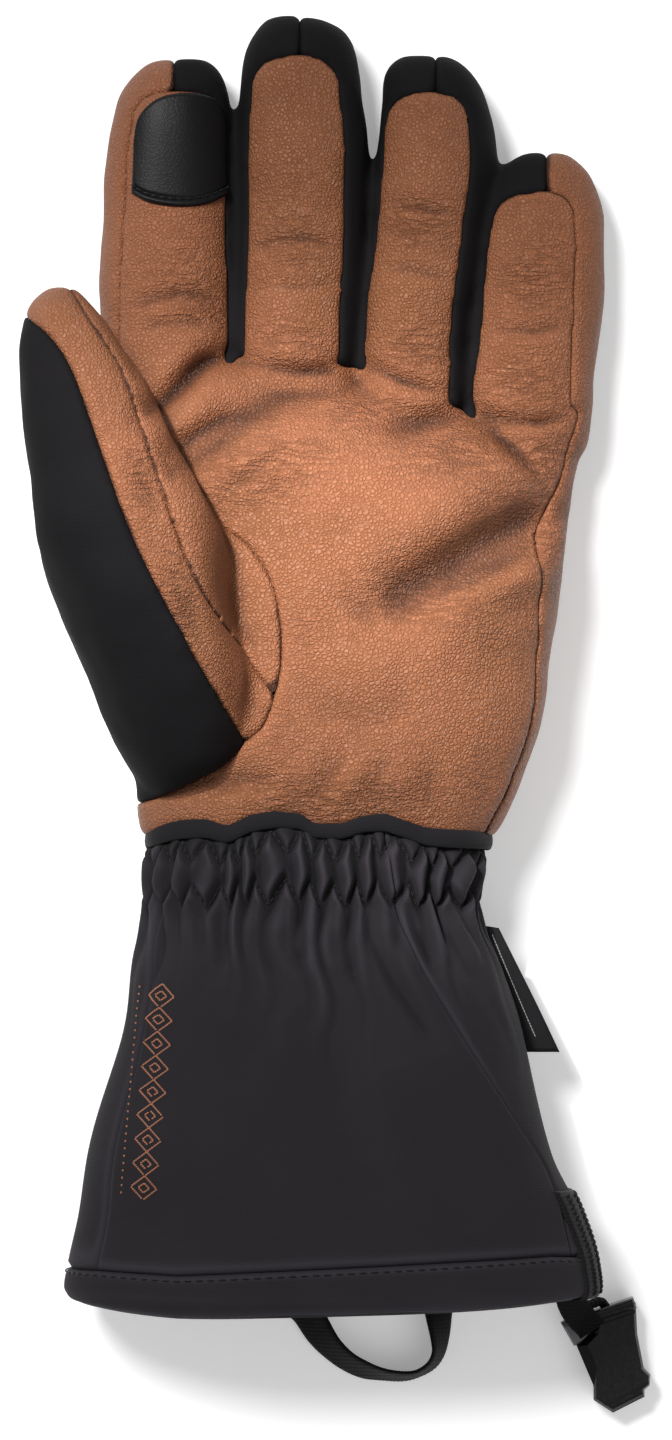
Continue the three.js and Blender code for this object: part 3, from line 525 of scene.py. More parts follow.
def padded_body(steps, root, length, section_at, sides, inset, slopes=None):
    """A closed body through sections at steps of its length, smaller by the inset all round."""
    rings = []
    for step in steps:
        at = max(step, 0)
        slope = column(slopes, "slope", at) if slopes else 0
        rings.append(ring(root + step * (length - inset), *section_at(at), slope, inset, sides))
    return loft(rings)


def thumb_body(inset, first=0.0):
    steps = first + (1 - first) * (1 - np.linspace(1, 0, 70) ** 1.5)
    return padded_body(steps, THUMB_ROOT_Y, THUMB_LENGTH, thumb_section, 60, inset)


def pressed_by_thumb(points, gap):
    """Lowers what lies under the thumb, so that the thumb stays clear of it."""
    at = (points[:, 1] - THUMB_ROOT_Y) / THUMB_LENGTH
    left, right, low, high = thumb_section(np.clip(at, 0, 1))
    middle, half = (left + right) / 2, (right - left) / 2
    away = np.clip(np.abs(points[:, 0] - middle) / half, 0, 1)
    under = (low + high) / 2 - (high - low) / 2 * (1 - away ** FLAT_POWER) ** (1 / FLAT_POWER)
    start = np.clip((points[:, 1] - 40) / 14, 0, 1)
    limit = np.where((away < 1) & (at <= 1), under - gap + (1 - start) * 40, 1e3)
    points[:, 2] = np.minimum(points[:, 2], np.maximum(limit, 6))
    return points


def pressed(points, folds, from_height):
    """Presses folds into what lies above a height."""
    upper = np.clip((points[:, 2] - from_height) / 8, 0, 1)
    points[:, 2] += fold_depth(points[:, 0], points[:, 1], folds) * upper


def body_mesh(name, inset, with_thumb):
    """The whole hand as one even mesh, or with an inset the hollow inside it."""
    steps = np.linspace(-0.06 if inset else 0, 1, 74)
    bodies = [padded_body(steps, WRIST_Y, HAND_LENGTH, hand_section, 110, inset, HAND_ROWS)]
    for finger in FINGERS:
        steps = 1 - np.linspace(1, 0, 60) ** 1.6
        section_at = partial(finger_section, finger)
        bodies.append(padded_body(steps, FINGER_ROOT_Y, finger["reach"], section_at, 56, inset))
    if with_thumb:
        bodies.append(thumb_body(inset))
    obj = remeshed(joined(name, bodies), INNER_VOXEL if inset else BODY_VOXEL)
    relaxed(obj, 2 if inset else 5)
    if not with_thumb:
        place_points(obj, pressed_by_thumb(points_of(obj), 1.0 + inset))
        relaxed(obj, 2)
    points = points_of(obj)
    if not inset:
        points += normals_of(obj) * (0.3 * waves(points, 7, 26) + 0.12 * waves(points, 8, 9))[:, None]
    pressed(points, PALM_FOLDS, 12)
    if with_thumb:
        pressed(points, THUMB_FOLDS, 42)
    place_points(obj, points)
    return obj


def shell(name, with_thumb):
    """The hollow hand, cut flat at the floor and at the wrist."""
    outer = body_mesh(name, 0.0, with_thumb)
    cut(outer, body_mesh(name + "_inside", WALL, with_thumb))
    cut(outer, block("floor_cut", (-REACH, -REACH, -30), (REACH, REACH, 0.0)))
    return cut(outer, block("wrist_cut", (-REACH, -REACH, -30), (REACH, WRIST_Y, REACH)))


def taken(shell_left, region, name):
    """Cuts a piece out of what is left of a shell."""
    piece = copied(shell_left, name)
    cut(piece, region, "INTERSECT", keep=True)
    cut(shell_left, region)
    return piece


def front_outline(finger, out=0.0):
    """The leather front of a finger: two seams and a round top, moved outwards by a distance."""
    tip = FINGER_ROOT_Y + finger["reach"]
    top = tip - finger["bare"] + out
    arch = top - finger["width"] * 0.25
    y = np.linspace(FINGER_ROOT_Y - 4, arch, 24)
    at = np.clip((y - FINGER_ROOT_Y) / finger["reach"], 0, 1)
    left, right = finger_section(finger, at)[:2]
    seam_left = left + (right - left) * finger["seam_left"] - out
    seam_right = left + (right - left) * finger["seam_right"] + out
    turn = np.linspace(0, math.pi, 22)[1:-1]
    middle = (seam_left[-1] + seam_right[-1]) / 2
    half = (seam_right[-1] - seam_left[-1]) / 2
    arch_x = middle - half * signed_power(np.cos(turn), 0.6)
    arch_y = arch + (top - arch) * np.sin(turn) ** 0.7
    return np.vstack([
        np.column_stack([seam_left, y]),
        np.column_stack([arch_x, arch_y]),
        np.column_stack([seam_right, y])[::-1],
    ])


def united(name, parts):
    whole = parts[0]
    whole.name = name
    for part in parts[1:]:
        cut(whole, part, "UNION")
    return whole


SEAM_LEAN = 0.6
STRIP_SEAM_Z = 20.0
STRIP_TOP_Z = 38.0
SIDE_SEAM_Z = table("at z", [
    (-40, 31.0), (50, 31.0), (77, 21.0),
])
PALM_TOP_Z = 52.0


def front_region():
    """Everything that is cut from leather in one piece with the palm. Its sides lean across the wall."""
    strips = [
        prism(
            "strip", front_outline(finger, (FINGER_SEAM_Z - STRIP_SEAM_Z) * SEAM_LEAN), FINGER_SEAM_Z,
            STRIP_TOP_Z, front_outline(finger, (STRIP_TOP_Z - STRIP_SEAM_Z) * SEAM_LEAN),
        )
        for finger in FINGERS
    ]

    def outline(height):
        side = palm_line(PALM_SIDE_SEAM[::-1])
        side[:, 0] += (height - column(SIDE_SEAM_Z, "z", side[:, 1])) * SEAM_LEAN
        web = palm_line(WEB_LINE[::-1], 1)
        return np.vstack([[(-0.43 * PALM_WIDTH, WRIST_Y - 6), (side[0][0], WRIST_Y - 6)],
                          side, web[1:], [(-0.43 * PALM_WIDTH, 60)]])

    palm = prism("palm_cut", outline(PALM_SEAM_Z), PALM_SEAM_Z, PALM_TOP_Z, outline(PALM_TOP_Z))
    heel = block("heel_cut", (-REACH, -REACH, 0), (-0.2 * PALM_WIDTH, WRIST_Y + 0.164 * HAND_LENGTH, REACH))
    web = palm_line(WEB_LINE, 1)
    inside = np.vstack([web[1:-1], [(0.30 * PALM_WIDTH, 70), (-0.25 * PALM_WIDTH, 70)]])
    valley = prism("valley_cut", inside, BACK_SEAM_Z + 2, PALM_SEAM_Z + 2)
    return united("front_cut", [palm, heel, valley, *strips])


def gusset_outline():
    line = palm_line(GUSSET_SEAM)
    return np.vstack([line, [(-PALM_WIDTH, line[-1][1]), (-PALM_WIDTH, line[0][1])]])


def thumb_outline(stops):
    line = palm_line(stops)
    last = line[-1]
    return np.vstack([
        [(line[0][0], REACH)], line,
        [(last[0] + 6, last[1] - 6), (last[0] + 6, -REACH), (-REACH, -REACH), (-REACH, REACH)],
    ])


def strip_outline(before, after):
    """Between two fingers' middles, from the tips down to the hand."""
    low = FINGER_ROOT_Y - 6 if before and after else WRIST_Y - 6
    bend = FINGER_ROOT_Y - 6

    def edge(finger):
        return [(finger["tip_x"], REACH), (finger["tip_x"], FINGER_ROOT_Y + finger["reach"] * 0.5),
                (finger["root_x"], bend)]

    def outer(side):
        return [(side * REACH, REACH), (side * REACH, low), (0, low), (0, bend)]

    if not before:
        return outer(-1) + edge(after)[::-1]
    if not after:
        return outer(1) + edge(before)[::-1]
    return edge(before) + edge(after)[::-1]


def wrist_lift(points):
    """Moves the wrist's edge along its wave on the palm side, fading out along the glove."""
    lift = column(WRIST_WAVE, "lift", points[:, 0])
    height = np.clip((points[:, 2] - 12) / 16, 0, 1)
    away = points[:, 1] - WRIST_Y
    fade = np.where(away > 0, np.clip(1 - away / 22, 0, 1), np.clip(1 + away / 26, 0, 1))
    moved = points.copy()
    moved[:, 1] += lift * height * height * (3 - 2 * height) * fade * fade * (3 - 2 * fade)
    return moved


# Materials

def colour(hex_text):
    parts = [int(hex_text[k:k + 2], 16) / 255 for k in (0, 2, 4)]
    return tuple(p / 12.92 if p <= 0.04045 else ((p + 0.055) / 1.055) ** 2.4 for p in parts) + (1.0,)


class Nodes:
    """Short way to add nodes to a tree and link them."""

    def __init__(self, tree):
        self.tree = tree

    def put(self, node, **inputs):
        """Links or sets inputs by name, with _ for a space, or by place, as in0."""
        for name, value in inputs.items():
            place = name[2:] if name.startswith("in") else ""
            socket = node.inputs[int(place) if place.isdigit() else name.replace("_", " ")]
            if isinstance(value, bpy.types.NodeSocket):
                self.tree.links.new(value, socket)
            else:
                socket.default_value = value
        return node

    def add(self, kind, settings=None, **inputs):
        node = self.tree.nodes.new("ShaderNode" + kind)
        for name, value in (settings or {}).items():
            setattr(node, name, value)
        return self.put(node, **inputs)

    def maths(self, operation, first, second=0.5):
        return self.add("Math", {"operation": operation}, in0=first, in1=second).outputs[0]

    def times(self, first, second):
        return self.maths("MULTIPLY", first, second)

    def plus(self, first, second):
        return self.maths("ADD", first, second)

    def vector(self, operation, **inputs):
        return self.add("VectorMath", {"operation": operation}, **inputs).outputs[0]

    def mix(self, share, first, second):
        return self.add("Mix", {"data_type": "RGBA"}, in0=share, in6=first, in7=second).outputs[2]

    def ramp(self, value, low, high, to_low=0.0, to_high=1.0):
        return self.add("MapRange", None, Value=value, From_Min=low, From_Max=high, To_Min=to_low,
                        To_Max=to_high).outputs[0]

    def place(self):
        return self.add("TexCoord").outputs["Object"]

    def noise(self, place, scale, detail, rough=0.5):
        return self.add("TexNoise", None, Vector=place, Scale=scale, Detail=detail,
                        Roughness=rough).outputs[0]

    def painted(self, name):
        return self.add("Attribute", {"attribute_name": name}).outputs["Fac"]

    def bump(self, height, strength, distance):
        return self.add("Bump", None, Height=height, Strength=strength, Distance=distance).outputs[0]

    def group(self, group, **inputs):
        return self.put(self.add("Group", {"node_tree": group}), **inputs).outputs


def new_group(name, inputs, outputs):
    """A node group from its inputs with their first values and the names of its outputs."""
    group = bpy.data.node_groups.new(name, "ShaderNodeTree")
    for title, value in inputs.items():
        kind = "NodeSocketColor" if isinstance(value, tuple) else "NodeSocketFloat"
        group.interface.new_socket(name=title, in_out="INPUT", socket_type=kind).default_value = value
    for title in outputs:
        kind = "NodeSocketColor" if title == "Colour" else "NodeSocketFloat"
        group.interface.new_socket(name=title, in_out="OUTPUT", socket_type=kind)
    nodes = Nodes(group)
    return nodes, group.nodes.new("NodeGroupInput").outputs, group.nodes.new("NodeGroupOutput")


def grain_group():
    """Fine pebbled grain with thin creases, and cross wrinkles where the hide is bent."""
    inputs = {"Cell size": 0.8, "Wrinkle": 1.0}
    nodes, given, end = new_group("Hide grain", inputs, ["Height", "Crevice", "Mottle"])
    place = nodes.place()
    bend = nodes.add("TexNoise", None, Vector=place, Scale=330.0, Detail=3.0).outputs["Color"]
    moved = nodes.vector("ADD", in0=place, in1=nodes.vector("SCALE", in0=bend, Scale=0.0012))
    cells = nodes.add("TexVoronoi", {"feature": "DISTANCE_TO_EDGE"}, Vector=moved,
                      Scale=nodes.maths("DIVIDE", 1000.0, given["Cell size"]))
    pebble = nodes.ramp(cells.outputs["Distance"], 0.0, 0.25)
    lines = nodes.noise(nodes.vector("MULTIPLY", in0=moved, in1=(0.22, 1.0, 0.45)), 620.0, 3.0, 0.6)
    crease = nodes.ramp(nodes.maths("ABSOLUTE", nodes.maths("SUBTRACT", lines, 0.5)), 0.0, 0.09, 1.0, 0.0)
    patch = nodes.ramp(nodes.noise(place, 48.0, 3.0), 0.45, 0.70, 0.0, 0.45)
    share = nodes.times(nodes.plus(patch, nodes.painted("wrinkle")), given["Wrinkle"])
    crease = nodes.times(crease, nodes.maths("MINIMUM", share, 1.0))
    height = nodes.maths("SUBTRACT", nodes.times(pebble, 0.7), nodes.times(crease, 1.3))
    height = nodes.plus(height, nodes.times(nodes.noise(place, 240.0, 5.0), 0.8))
    crevice = nodes.plus(nodes.times(nodes.maths("SUBTRACT", 1.0, pebble), 0.6), crease)
    nodes.put(end, Height=height, Crevice=crevice, Mottle=nodes.noise(place, 20.0, 5.0, 0.55))
    return nodes.tree


def cloth_group():
    """Woven or brushed cloth: fine cross ribs with threads broken up by noise."""
    nodes, given, end = new_group("Cloth ribs", {"Rib pitch": 0.8, "Thread pitch": 0.5}, ["Height", "Mottle"])
    place = nodes.place()
    parts = nodes.add("SeparateXYZ", None, Vector=place).outputs
    wobble = nodes.times(nodes.noise(place, 120.0, 2.0), 0.0006)
    height = nodes.noise(place, 1500.0, 3.0)
    for axis, pitch, share in (("Y", "Rib pitch", 0.5), ("X", "Thread pitch", 0.2)):
        turn = nodes.times(nodes.plus(parts[axis], wobble), nodes.maths("DIVIDE", 6283.0, given[pitch]))
        height = nodes.plus(height, nodes.times(nodes.maths("SINE", turn), share))
    nodes.put(end, Height=height, Mottle=nodes.noise(place, 14.0, 6.0, 0.6))
    return nodes.tree


def fold_shade_group():
    """Paints shade into sewn-in edges, folds and hollows and paints a highlight onto ridges, from the stored
    crease depth.
    """
    # The second colour is the painted shade in hollows and the third the painted highlight on ridges.
    greys = {"Colour": (0.5, 0.5, 0.5, 1), "Valley": (0.1, 0.1, 0.1, 1), "Ridge": (0.8, 0.8, 0.8, 1)}
    nodes, given, end = new_group("Fold shade", {**greys, "Strength": 0.7}, ["Colour", "Fold"])
    depth = nodes.painted("crease")
    valley = nodes.times(nodes.ramp(depth, 0.05, 0.8), given["Strength"])
    ridge = nodes.times(nodes.ramp(depth, -0.05, -0.8), given["Strength"])
    mixed = nodes.mix(valley, given["Colour"], given["Valley"])
    nodes.put(end, Colour=nodes.mix(nodes.times(ridge, 0.5), mixed, given["Ridge"]), Fold=valley)
    return nodes.tree


GRAIN = grain_group()
CLOTH = cloth_group()
FOLD_SHADE = fold_shade_group()


def new_material(name):
    material = bpy.data.materials.new(name)
    material.use_nodes = True
    material.node_tree.nodes.clear()
    nodes = Nodes(material.node_tree)
    shader = nodes.add("BsdfPrincipled")
    nodes.add("OutputMaterial", None, Surface=shader.outputs[0])
    return material, nodes, shader


def leather_material(name, light, dark, valley, wrinkle=1.0, depth=0.46, rough=0.56, gloss=0.28):
    material, nodes, shader = new_material(name)
    grain = nodes.group(GRAIN, Cell_size=1.0, Wrinkle=wrinkle)
    base = nodes.mix(nodes.ramp(grain["Mottle"], 0.35, 0.65), colour(dark), colour(light))
    base = nodes.mix(nodes.times(grain["Crevice"], 0.34), base, colour(valley))
    # valley is the grain's crevice colour and also the colour of the painted shade in folds, seams and
    # hollows; light is also the colour of the painted highlight on ridges.
    shade = nodes.group(FOLD_SHADE, Colour=base, Valley=colour(valley), Ridge=colour(light), Strength=0.9)
    nodes.put(shader, Base_Color=shade["Colour"], Normal=nodes.bump(grain["Height"], 0.75, depth * MM),
              Roughness=nodes.ramp(grain["Mottle"], 0.3, 0.7, rough - 0.05, rough + 0.07),
              Specular_IOR_Level=gloss)
    return material


# Colour of the painted shade in the cloth's folds, seams and hollows.
CLOTH_SHADE_COLOUR = "060506"


def cloth_material(name, light, dark, rib_pitch, thread_pitch, depth, sheen, rough=0.85, ridge=None):
    material, nodes, shader = new_material(name)
    cloth = nodes.group(CLOTH, Rib_pitch=rib_pitch, Thread_pitch=thread_pitch)
    base = nodes.mix(nodes.ramp(cloth["Mottle"], 0.3, 0.7), colour(dark), colour(light))
    base = nodes.mix(nodes.ramp(cloth["Height"], 0.0, 1.2, 0.0, 0.5), base, colour(light))
    # ridge, or else light, is the colour of the painted highlight on the cloth's ridges.
    shade = nodes.group(FOLD_SHADE, Colour=base, Valley=colour(CLOTH_SHADE_COLOUR), Ridge=colour(ridge or light),
                        Strength=0.85)
    nodes.put(shader, Base_Color=shade["Colour"], Normal=nodes.bump(cloth["Height"], 0.4, depth * MM),
              Roughness=rough, Sheen_Weight=sheen, Sheen_Roughness=0.5, Specular_IOR_Level=0.14)
    return material


def plastic_material(name, light, dark, rough):
    material, nodes, shader = new_material(name)
    place = nodes.place()
    fine = nodes.noise(place, 1400.0, 4.0)
    nodes.put(shader, Base_Color=nodes.mix(nodes.noise(place, 90.0, 3.0), colour(dark), colour(light)),
              Normal=nodes.bump(fine, 0.2, 0.02 * MM),
              Roughness=nodes.ramp(fine, 0.3, 0.7, rough - 0.05, rough + 0.08), Specular_IOR_Level=0.3)
    return material


# Each leather's third colour is its grain crevice colour and also the colour of its painted shade.
LEATHER = leather_material("Tan goat leather", "855236", "75482c", "2a140a")
SOFTSHELL = cloth_material("Black softshell", "0d0b0d", "080709", 0.5, 0.5, 0.08, 0.0)
# The cuff cloth's last colour is the painted highlight on the gathers' ridges.
CUFF_CLOTH = cloth_material("Charcoal cuff cloth", "232024", "19171a", 0.62, 0.5, 0.07, 0.02, 0.85, "37333a")
PAD = leather_material("Smooth black pad leather", "0b0b0d", "070708", "030303", 0.0, 0.04, 0.40, 0.16)
TAPE = cloth_material("Binding tape", "141215", "0c0b0d", 0.6, 0.6, 0.10, 0.04)
WEBBING = cloth_material("Ribbed webbing", "0f0f11", "080809", 1.0, 0.8, 0.2, 0.03, 0.7)
LABEL = cloth_material("Woven label", "0f0f12", "08080a", 0.4, 0.4, 0.05, 0.03, 0.6)
BLACK_PLASTIC = plastic_material("Black moulded plastic", "0b0b0d", "060607", 0.20)
GREY_PLASTIC = plastic_material("Grey moulded plastic", "7c7c80", "66666a", 0.35)
THREAD = cloth_material("Black thread", "0c0b0d", "060607", 0.3, 0.3, 0.05, 0.1, 0.6)
PALE_THREAD = cloth_material("Pale thread", "a3a19d", "82807c", 0.35, 0.3, 0.05, 0.05, 0.6)
COPPER_THREAD = cloth_material("Copper thread", "a26a50", "855238", 0.35, 0.3, 0.08, 0.2, 0.5)


def fit(piece, material, nodes=(), body="glove"):
    """Gives a piece its material and its place among the bodies."""
    piece.data.materials.clear()
    piece.data.materials.append(material)
    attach(piece, body)
    if nodes:
        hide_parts(*nodes)
    return piece


# Hand panels

def wrist_profile(points):
    """How far the hand's skin lies from the wrist's middle at each turn round it."""
    near = points[np.abs(points[:, 1] - WRIST_Y - 0.2) < 0.8]
    middle = np.array([(near[:, 0].min() + near[:, 0].max()) / 2, near[:, 2].max() / 2])
    away = near[:, [0, 2]] - middle
    turn = np.arctan2(away[:, 1], away[:, 0])
    size = np.linalg.norm(away, axis=1)
    steps = np.linspace(-math.pi, math.pi, 91)[:-1]
    gap = np.abs((turn[None, :] - steps[:, None] + math.pi) % (2 * math.pi) - math.pi)
    reach = np.where(gap < 0.07, size[None, :], 0.0).max(axis=1)
    found = reach > 0
    reach = np.interp(steps, steps[found], reach[found], period=2 * math.pi)
    for _ in range(2):
        reach = (np.roll(reach, 1) + 2 * reach + np.roll(reach, -1)) / 4
    return middle, steps, reach


SEAM_FILL = 0.3
BACK_VOXEL = 1.5
STRIP_NODES = ["index_side_panel", "fourchette_index_middle", "fourchette_middle_ring",
               "fourchette_ring_little", "little_side_panel"]


def soft_panel(piece, material, node, voxel=PANEL_VOXEL, softness=7):
    """Evens out a cut panel and rounds its edges, so that sewn edges meet in a groove."""
    remeshed(piece, voxel)
    relaxed(piece, softness)
    points = wrist_lift(points_of(piece) + normals_of(piece) * SEAM_FILL)
    points[:, 2] = np.maximum(points[:, 2], 0.0)
    place_points(piece, points)
    x, y, z = points.T
    # The broad palm folds add painted shade in proportion to their depth.
    bent = fold_depth(x, y, PALM_FOLDS) * np.clip((z - 12) / 8, 0, 1)
    paint_crease_shade(piece, seams=True, extra_shade=np.clip(-bent * 0.12, 0, 0.38))
    keep_value(piece, "wrinkle", wrinkles(x, y) * np.clip((z - 10) / 8, 0, 1))
    return fit(smooth_faces(piece), material, [node])


def make_hand():
    """Cuts the hand's panels out of one shell and returns the shell's outline at the wrist."""
    body = shell("hand_shell", False)
    skin = wrist_profile(points_of(body))
    back = taken(body, block("back_cut", (-REACH, -REACH, -10), (REACH, REACH, BACK_SEAM_Z)), "back")
    cut(body, prism("gusset_cut", gusset_outline(), BACK_SEAM_Z - 4, REACH))
    soft_panel(taken(body, front_region(), "palm"), LEATHER, "palm_panel")
    soft_panel(back, SOFTSHELL, "back_panel", BACK_VOXEL, 3)
    sides = [None, *FINGERS, None]
    for before, after, node in zip(sides, sides[1:], STRIP_NODES):
        piece = copied(body, node + "_soft")
        cut(piece, prism("strip_cut", strip_outline(before, after), -10, REACH), "INTERSECT")
        soft_panel(piece, SOFTSHELL if node.startswith("fourchette") else LEATHER, node)
    removed(body)
    return skin


def make_thumb():
    body = shell("thumb_shell", True)
    region = prism("gusset_cut", gusset_outline(), BACK_SEAM_Z, REACH)
    own_from = (palm_line(GUSSET_SEAM)[0][1] - 8 - THUMB_ROOT_Y) / THUMB_LENGTH
    cut(region, outward(mesh_object("thumb_own", *thumb_body(-0.6, own_from))), "UNION")
    cut(body, region, "INTERSECT")
    for name, seam, material in (("thumb_back", THUMB_BACK_SEAM, SOFTSHELL),
                                 ("thumb_front", THUMB_CENTRE_SEAM, LEATHER)):
        piece = taken(body, prism("thumb_cut", thumb_outline(seam), -10, REACH), name)
        soft_panel(piece, material, name + "_panel")
    body.name = "thumb_inner"
    soft_panel(body, LEATHER, "thumb_inner_panel")


WRIST_SKIN = make_hand()
make_thumb()


# Cuff

def cuff_section(at):
    return section(CUFF_ROWS, at, CUFF_WIDTH, CUFF_THICK, FLOOR_SQUASH)


def cuff_turn_at_x(at, x):
    """The turn at which the front of the cuff lies at x."""
    left, right, low, high = cuff_section(at)
    across = np.clip((x - (left + right) / 2) / ((right - left) / 2), -1, 1)
    return np.arccos(signed_power(across, ROUND_POWER / 2))


def cuff_turn_at_z(at, z):
    """The turn at which the little-finger side of the cuff lies at height z."""
    left, right, low, high = cuff_section(at)
    up = np.clip((z - (low + high) / 2) / ((high - low) / 2), -1, 1)
    power = np.where(up > 0, ROUND_POWER, FLAT_POWER)
    return np.arcsin(signed_power(up, power / 2))


def cuff_points(at, turn, inset=0.0):
    left, right, low, high = cuff_section(at)
    across, up = round_section(turn)
    x = (left + right) / 2 + ((right - left) / 2 - inset) * across
    z = (low + high) / 2 + ((high - low) / 2 - inset) * up
    arch = HEM_ARCH * np.clip((at - 0.9) * 10, 0, 1)
    y = CUFF_TOP - at * CUFF_LENGTH + arch * across ** 4
    return np.stack([x, y, z], -1)


# Gathers: two elastic rows sewn in zigzags, with a row of puffs above, between and below them

PLEAT_PITCH = 6.0
ROW_ONE_AT = 0.026
ROW_TWO_AT = 0.108
ZIGZAG_HEIGHT = 2.6
PUFF_HEIGHT = 3.3
SIDE_PINCH = 1.6

CUFF_FOLDS = [
    ([(5.6, -49), (11, -60), (17, -70), (24, -80)], 1.8, 1.6, 0.5),
    ([(-29, -48), (-29, -56), (-30, -63)], 1.6, 1.2, 0.5),
    ([(-9, -48), (-8.5, -55), (-9, -61)], 1.5, 1.1, 0.4),
    ([(3, -48), (3.5, -56), (4, -64)], 1.6, 1.2, 0.5), ([(17, -47), (20, -54), (24, -62)], 1.6, 1.2, 0.5),
    ([(24, -48), (29, -57), (34, -67)], 1.8, 1.2, 0.5),
    ([(-40, -48), (-43, -58), (-46, -70)], 2.4, 0.9, 0.4),
    ([(-20, -50), (-21, -70), (-23, -95)], 6.0, 0.9, 0.2),
    ([(-2, -60), (0, -85), (3, -110)], 7.0, 1.0, 0.3),
    ([(14, -85), (26, -110), (32, -128)], 7.0, 0.9, 0.3),
]


def wrist_runs():
    """Lengths along the wrist at each turn, to space the gathers evenly."""
    turn = np.linspace(-math.pi, 3 * math.pi, 2400)
    return turn, run_along(cuff_points(np.full(len(turn), 0.06), turn))


RUN_TURN, RUN_LENGTH = wrist_runs()


def pleat_phase(turn):
    """The gathers' own turn: a whole turn for each pleat, uneven as hand-fed cloth is."""
    length = np.interp(turn, RUN_TURN, RUN_LENGTH)
    chance = np.random.default_rng(21)
    phase = 2 * math.pi * length / PLEAT_PITCH
    for pitch in (16, 23, 37, 61):
        swing = chance.uniform(0.35, 0.75)
        phase = phase + swing * np.sin(2 * math.pi * length / pitch + chance.uniform(0, 6))
    return phase


def zigzag(phase):
    """A triangle wave between -1 and 1."""
    return 2 / math.pi * np.arcsin(np.cos(phase) * 0.995)


def row_lines(phase):
    swing = ZIGZAG_HEIGHT / CUFF_LENGTH * zigzag(phase)
    return ROW_ONE_AT - swing, ROW_TWO_AT + swing


ROW_PINCH = 1.5
UPPER_PUFF = 1.0
MIDDLE_PUFF = 2.3
LOWER_PUFF = 2.6
PUFF_SHARE = PUFF_HEIGHT / 2.1
WAIST_AT = (ROW_ONE_AT + ROW_TWO_AT) / 2


def gathers(at, turn):
    """How far the gathered cloth stands out: puffs above, between and below its two sewn rows."""
    phase = pleat_phase(turn)
    one, two = row_lines(phase)
    wide = 0.5 + 0.5 * np.cos(phase + 1.2 * np.sin(at * 30 + turn * 3))
    middle, outer = wide ** 0.8, (1 - wide) ** 0.8
    to_one, to_two = (at - one) * CUFF_LENGTH, (at - two) * CUFF_LENGTH
    pinch = (1 - np.exp(-(to_one / ROW_PINCH) ** 2)) * (1 - np.exp(-(to_two / ROW_PINCH) ** 2))
    below = np.maximum(to_two, 0)
    chance = 0.75 + 0.45 * np.sin(phase * 0.37 + 0.8) * np.sin(phase * 0.23)
    lower = LOWER_PUFF * chance * outer * np.exp(-(below / (7 + 7 * chance)) ** 1.2)
    puffs = np.where(to_one < 0, UPPER_PUFF * outer, np.where(to_two < 0, MIDDLE_PUFF * middle, lower))
    slow = np.sin(phase / 3 + 1.0) * np.exp(-((below - 10) / 14) ** 2) * (to_two > 0)
    between = np.exp(-((at - WAIST_AT) / 0.035) ** 2)
    return puffs * pinch * PUFF_SHARE + 0.5 * slow + 0.7 * between - 0.9 * np.exp(-(at / 0.012) ** 2)


def on_cuff(at, turn, out=0.0):
    """A place on the cuff's shown surface, with its gathers and folds."""
    at, turn = np.broadcast_arrays(np.asarray(at, float), np.asarray(turn, float))
    base = cuff_points(at, turn)
    step = 1e-4
    along = cuff_points(at, turn + step) - base
    down = cuff_points(at + step, turn) - base
    normal = unit(np.cross(along, down))
    flat = base.reshape(-1, 3)
    front = np.clip((base[..., 2] - 2) / 12, 0.1, 1) * (0.3 + 0.7 * np.clip(normal[..., 2], 0, 1))
    upper = np.clip((base[..., 2] - 20) / 10, 0, 1)
    height = gathers(at, turn) + 0.4 * waves(flat, 3, 34).reshape(at.shape)
    height = height * front + fold_depth(flat[:, 0], flat[:, 1], CUFF_FOLDS).reshape(at.shape) * upper
    height = height - SIDE_PINCH * (1 - np.clip(normal[..., 2], 0, 1)) * np.exp(-((at - 0.06) / 0.07) ** 2)
    shown = base + normal * (height + out)[..., None]
    shown = wrist_lift(shown.reshape(-1, 3)).reshape(shown.shape)
    shown[..., 2] = np.maximum(shown[..., 2], 0.0)
    return shown


def rolled(grid, roll):
    """How far the edges of a panel drop below its face, for edges of this radius."""
    across = np.linalg.norm(np.diff(grid, axis=1), axis=-1)
    down = np.linalg.norm(np.diff(grid, axis=0), axis=-1)
    run = np.pad(np.cumsum(across, axis=1), ((0, 0), (1, 0)))
    fall = np.pad(np.cumsum(down, axis=0), ((1, 0), (0, 0)))
    edge = np.minimum(np.minimum(run, run[:, -1:] - run), np.minimum(fall, fall[-1:] - fall))
    share = np.clip(1 - edge / roll, 0, 1)
    return -roll * (1 - np.sqrt(np.maximum(1 - share * share, 0)))


def grid_faces(rows, columns, start=0, flip=False):
    k = np.arange(rows * columns).reshape(rows, columns) + start
    quads = np.stack([k[:-1, :-1], k[:-1, 1:], k[1:, 1:], k[1:, :-1]], -1).reshape(-1, 4)
    return quads[:, ::-1] if flip else quads


def closed_patch(name, shown, inside):
    """A shell between a shown grid and an inner grid of the same size."""
    rows, columns = shown.shape[:2]
    count = rows * columns
    points = np.vstack([shown.reshape(-1, 3), inside.reshape(-1, 3)])
    k = np.arange(count).reshape(rows, columns)
    loop = np.concatenate([k[0, :-1], k[:-1, -1], k[-1, :0:-1], k[:0:-1, 0]])
    after = np.roll(loop, -1)
    rim = np.column_stack([loop, after, after + count, loop + count])
    faces = np.vstack([grid_faces(rows, columns), grid_faces(rows, columns, count, True), rim])
    return smooth_body(name, points, faces.tolist())


def hem_tilt(points):
    """How far the hem's line rises on the palm side, as a share of the cuff's length."""
    rise = np.interp(points[..., 0], [-60, -40, 54, 62], [0.0, -0.008, 0.034, 0.030])
    return rise * np.clip((points[..., 2] - 14) / 22, 0, 1)


